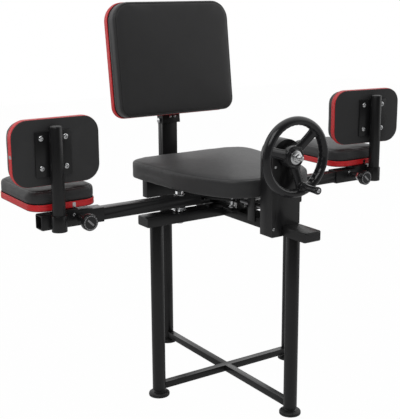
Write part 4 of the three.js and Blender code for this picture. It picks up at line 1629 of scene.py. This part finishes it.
add_tube_cap("long_beam", -world_back)
add_tube_cap("long_beam", world_back)
add_tube_cap("backrest_post", world_up)
for side, sign in sides.items():
    add_tube_cap(f"{side}_cross_beam", sign * world_right)
    add_arm_cap(side, "arm", 2 * arm_half)
    add_arm_cap(side, "sleeve", 2 * sleeve_half, 2 * (arm_half + collar_gap))
    print(add_post_cap(side).name)

# %% [markdown]
# ## Screws, bolts and clips
# Each fastener is modelled once and placed many times, by a tree that puts one part on each point.
# The places follow the plates that the fasteners hold. Small steel clips hold the red band's ends.

# %% Screws, bolts and clips
button_radius = 7 * mm
button_height = 4 * mm
bolt_head_radius = 7.5 * mm
bolt_head_height = 5 * mm
bolt_top_round = 1 * mm
screw_radius = 3.6 * mm
screw_height = 1.8 * mm
washer_radius = 10 * mm
washer_height = 1.2 * mm
sideways_share = 0.5
plate_bolt_aside = 30.8 * mm
plate_bolt_heights = (663 * mm, 733.7 * mm)
plate_front = 15.1 * mm
clip_length = 8 * mm
clip_height = 12 * mm
clip_thickness = 1.2 * mm
clip_corner = 1 * mm


def bolt_head():
    """A six-sided head on its washer."""
    washer = turned([(washer_radius, 0), (washer_radius, washer_height)])
    high = washer_height + bolt_head_height
    head = lofted([
        polygon(hex_sides, bolt_head_radius, washer_height),
        polygon(hex_sides, bolt_head_radius, high - bolt_top_round),
        circle(bolt_head_radius * cos(pi / hex_sides), high),
    ])
    return joined([washer, head])


def add_fasteners(node, name, form, places):
    """Copies of one fastener at (point, facing) places, riding with a node's body."""
    chosen = [
        (point, facing, world_right if abs(facing.x) < sideways_share else world_up)
        for point, facing in places
    ]
    mesh = scattered(mesh_from(form, name), name, chosen, "chrome")
    mesh.set_sharp_from_angle(angle=corner_angle)
    return add_piece(name, mesh, node, "chrome")


def plate_bolts(side):
    pivot = pivot_of[side + "_pad_swivel"]
    swivel = Matrix.Rotation(right_swivel if side == "right" else 0, 3, "Z")
    places = []
    for height in plate_bolt_heights:
        for way in (-1, 1):
            spot = pivot + swivel @ Vector((way * plate_bolt_aside, plate_front, 0))
            places.append((Vector((spot.x, spot.y, height)), swivel @ -world_back))
    return places


def bar_bolts(side):
    """The two bolts that come up through the pad's bar, from below."""
    low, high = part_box(side + "_flat_board")
    centre = (low + high) / 2
    return [
        (Vector((centre.x, low.y + share * (high.y - low.y), bar_underside)), -world_up)
        for share in bar_bolt_shares
    ]


bar_thickness = 7 * mm
bar_gap = 0.3 * mm
bar_bolt_shares = (0.36, 0.66)
bar_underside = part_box("left_flat_board")[0].z - bar_thickness - bar_gap
sleeve_front = -2.8 * mm
sleeve_screw_aside = 16 * mm
sleeve_screw_height = 540 * mm
column_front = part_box("column_cover")[0].y
cover_screw_spots = [(-50.5 * mm, 651.6 * mm), (-54 * mm, 497 * mm)]
cover_screws = [(Vector((x, column_front, z)), -world_back) for x, z in cover_screw_spots]
for side, sign in sides.items():
    add_fasteners(side + "_post", side + "_plate_bolts", socket_head(button_radius, button_height),
                  plate_bolts(side))
    add_fasteners(side + "_sleeve", side + "_bar_bolts", bolt_head(), bar_bolts(side))
    knob_x = middle_of(side + "_pull_knob").x
    spot = Vector((knob_x - sleeve_screw_aside, sleeve_front, sleeve_screw_height))
    add_fasteners(side + "_sleeve", side + "_sleeve_screw", socket_head(screw_radius, screw_height),
                  [(spot, -world_back)])
add_fasteners("column_cover", "cover_screws", socket_head(screw_radius, screw_height), cover_screws)

# %% [markdown]
# ## Bracket screws and band clips
# The backrest's bracket leans with it, so its screws face along the board's own frame. The clips
# lie on the red bands: one on the front edge of each flat pad, and one on the outer end of each
# upright pad.

# %% Bracket screws and band clips
web_front_y = 50.7 * mm
web_screw_drop = 6 * mm
web_screw_aside = 7.5 * mm
flat_clip_aside = {"left": 19 * mm, "right": 18 * mm}
upright_clip_rise = -4 * mm
clip_sink = 0.6 * mm


def bracket_screws():
    """Two screws in the bracket's web, under the board's lower edge."""
    pad = pads[1]
    front = pad.thickness / 2 + back_cushion_thickness - web_front_y
    low = -pad.half_y - web_screw_drop
    turn = pad.frame.to_3x3()
    return [
        (pad.frame @ Vector((way * web_screw_aside, low, front)), turn @ world_up)
        for way in (-1, 1)
    ]


def clip_on(pad, spot, facing):
    """A thin rounded plate on a pad's edge, with its long side across the band."""
    plate = slab(clip_length, clip_height, clip_thickness, clip_corner)
    place = pad.frame @ frame_facing(facing, world_up, spot - facing * clip_sink)
    return add_piece(pad.name + "_clip", plate, pad.board, "chrome", place=place)


back_cushion_thickness = 43 * mm
bracket_form = socket_head(screw_radius, screw_height)
add_fasteners("backrest_bracket", "bracket_screws", bracket_form, bracket_screws())
for pad in pads:
    side, _, kind = pad.name.partition("_")
    if kind == "flat":
        aside = flat_clip_aside[side]
        print(clip_on(pad, Vector((aside, -pad.half_y, 0)), -world_back).name)
    if kind == "upright":
        way = -sides[side] * world_right
        print(clip_on(pad, way * pad.half_x + world_back * upright_clip_rise, way).name)

# %% [markdown]
# ## Sizes
# The boxes of the imported model and of the finished one are measured, and their sizes printed.
# The finished model has to stay inside the imported one.

# %% Sizes
visual_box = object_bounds()
sizes = {
    name: [list(corner) for corner in box]
    for name, box in (("cad", cad_box), ("visual", visual_box))
}
for name, (low, high) in sizes.items():
    print(name, [round((b - a) / mm) for a, b in zip(low, high)], "mm")
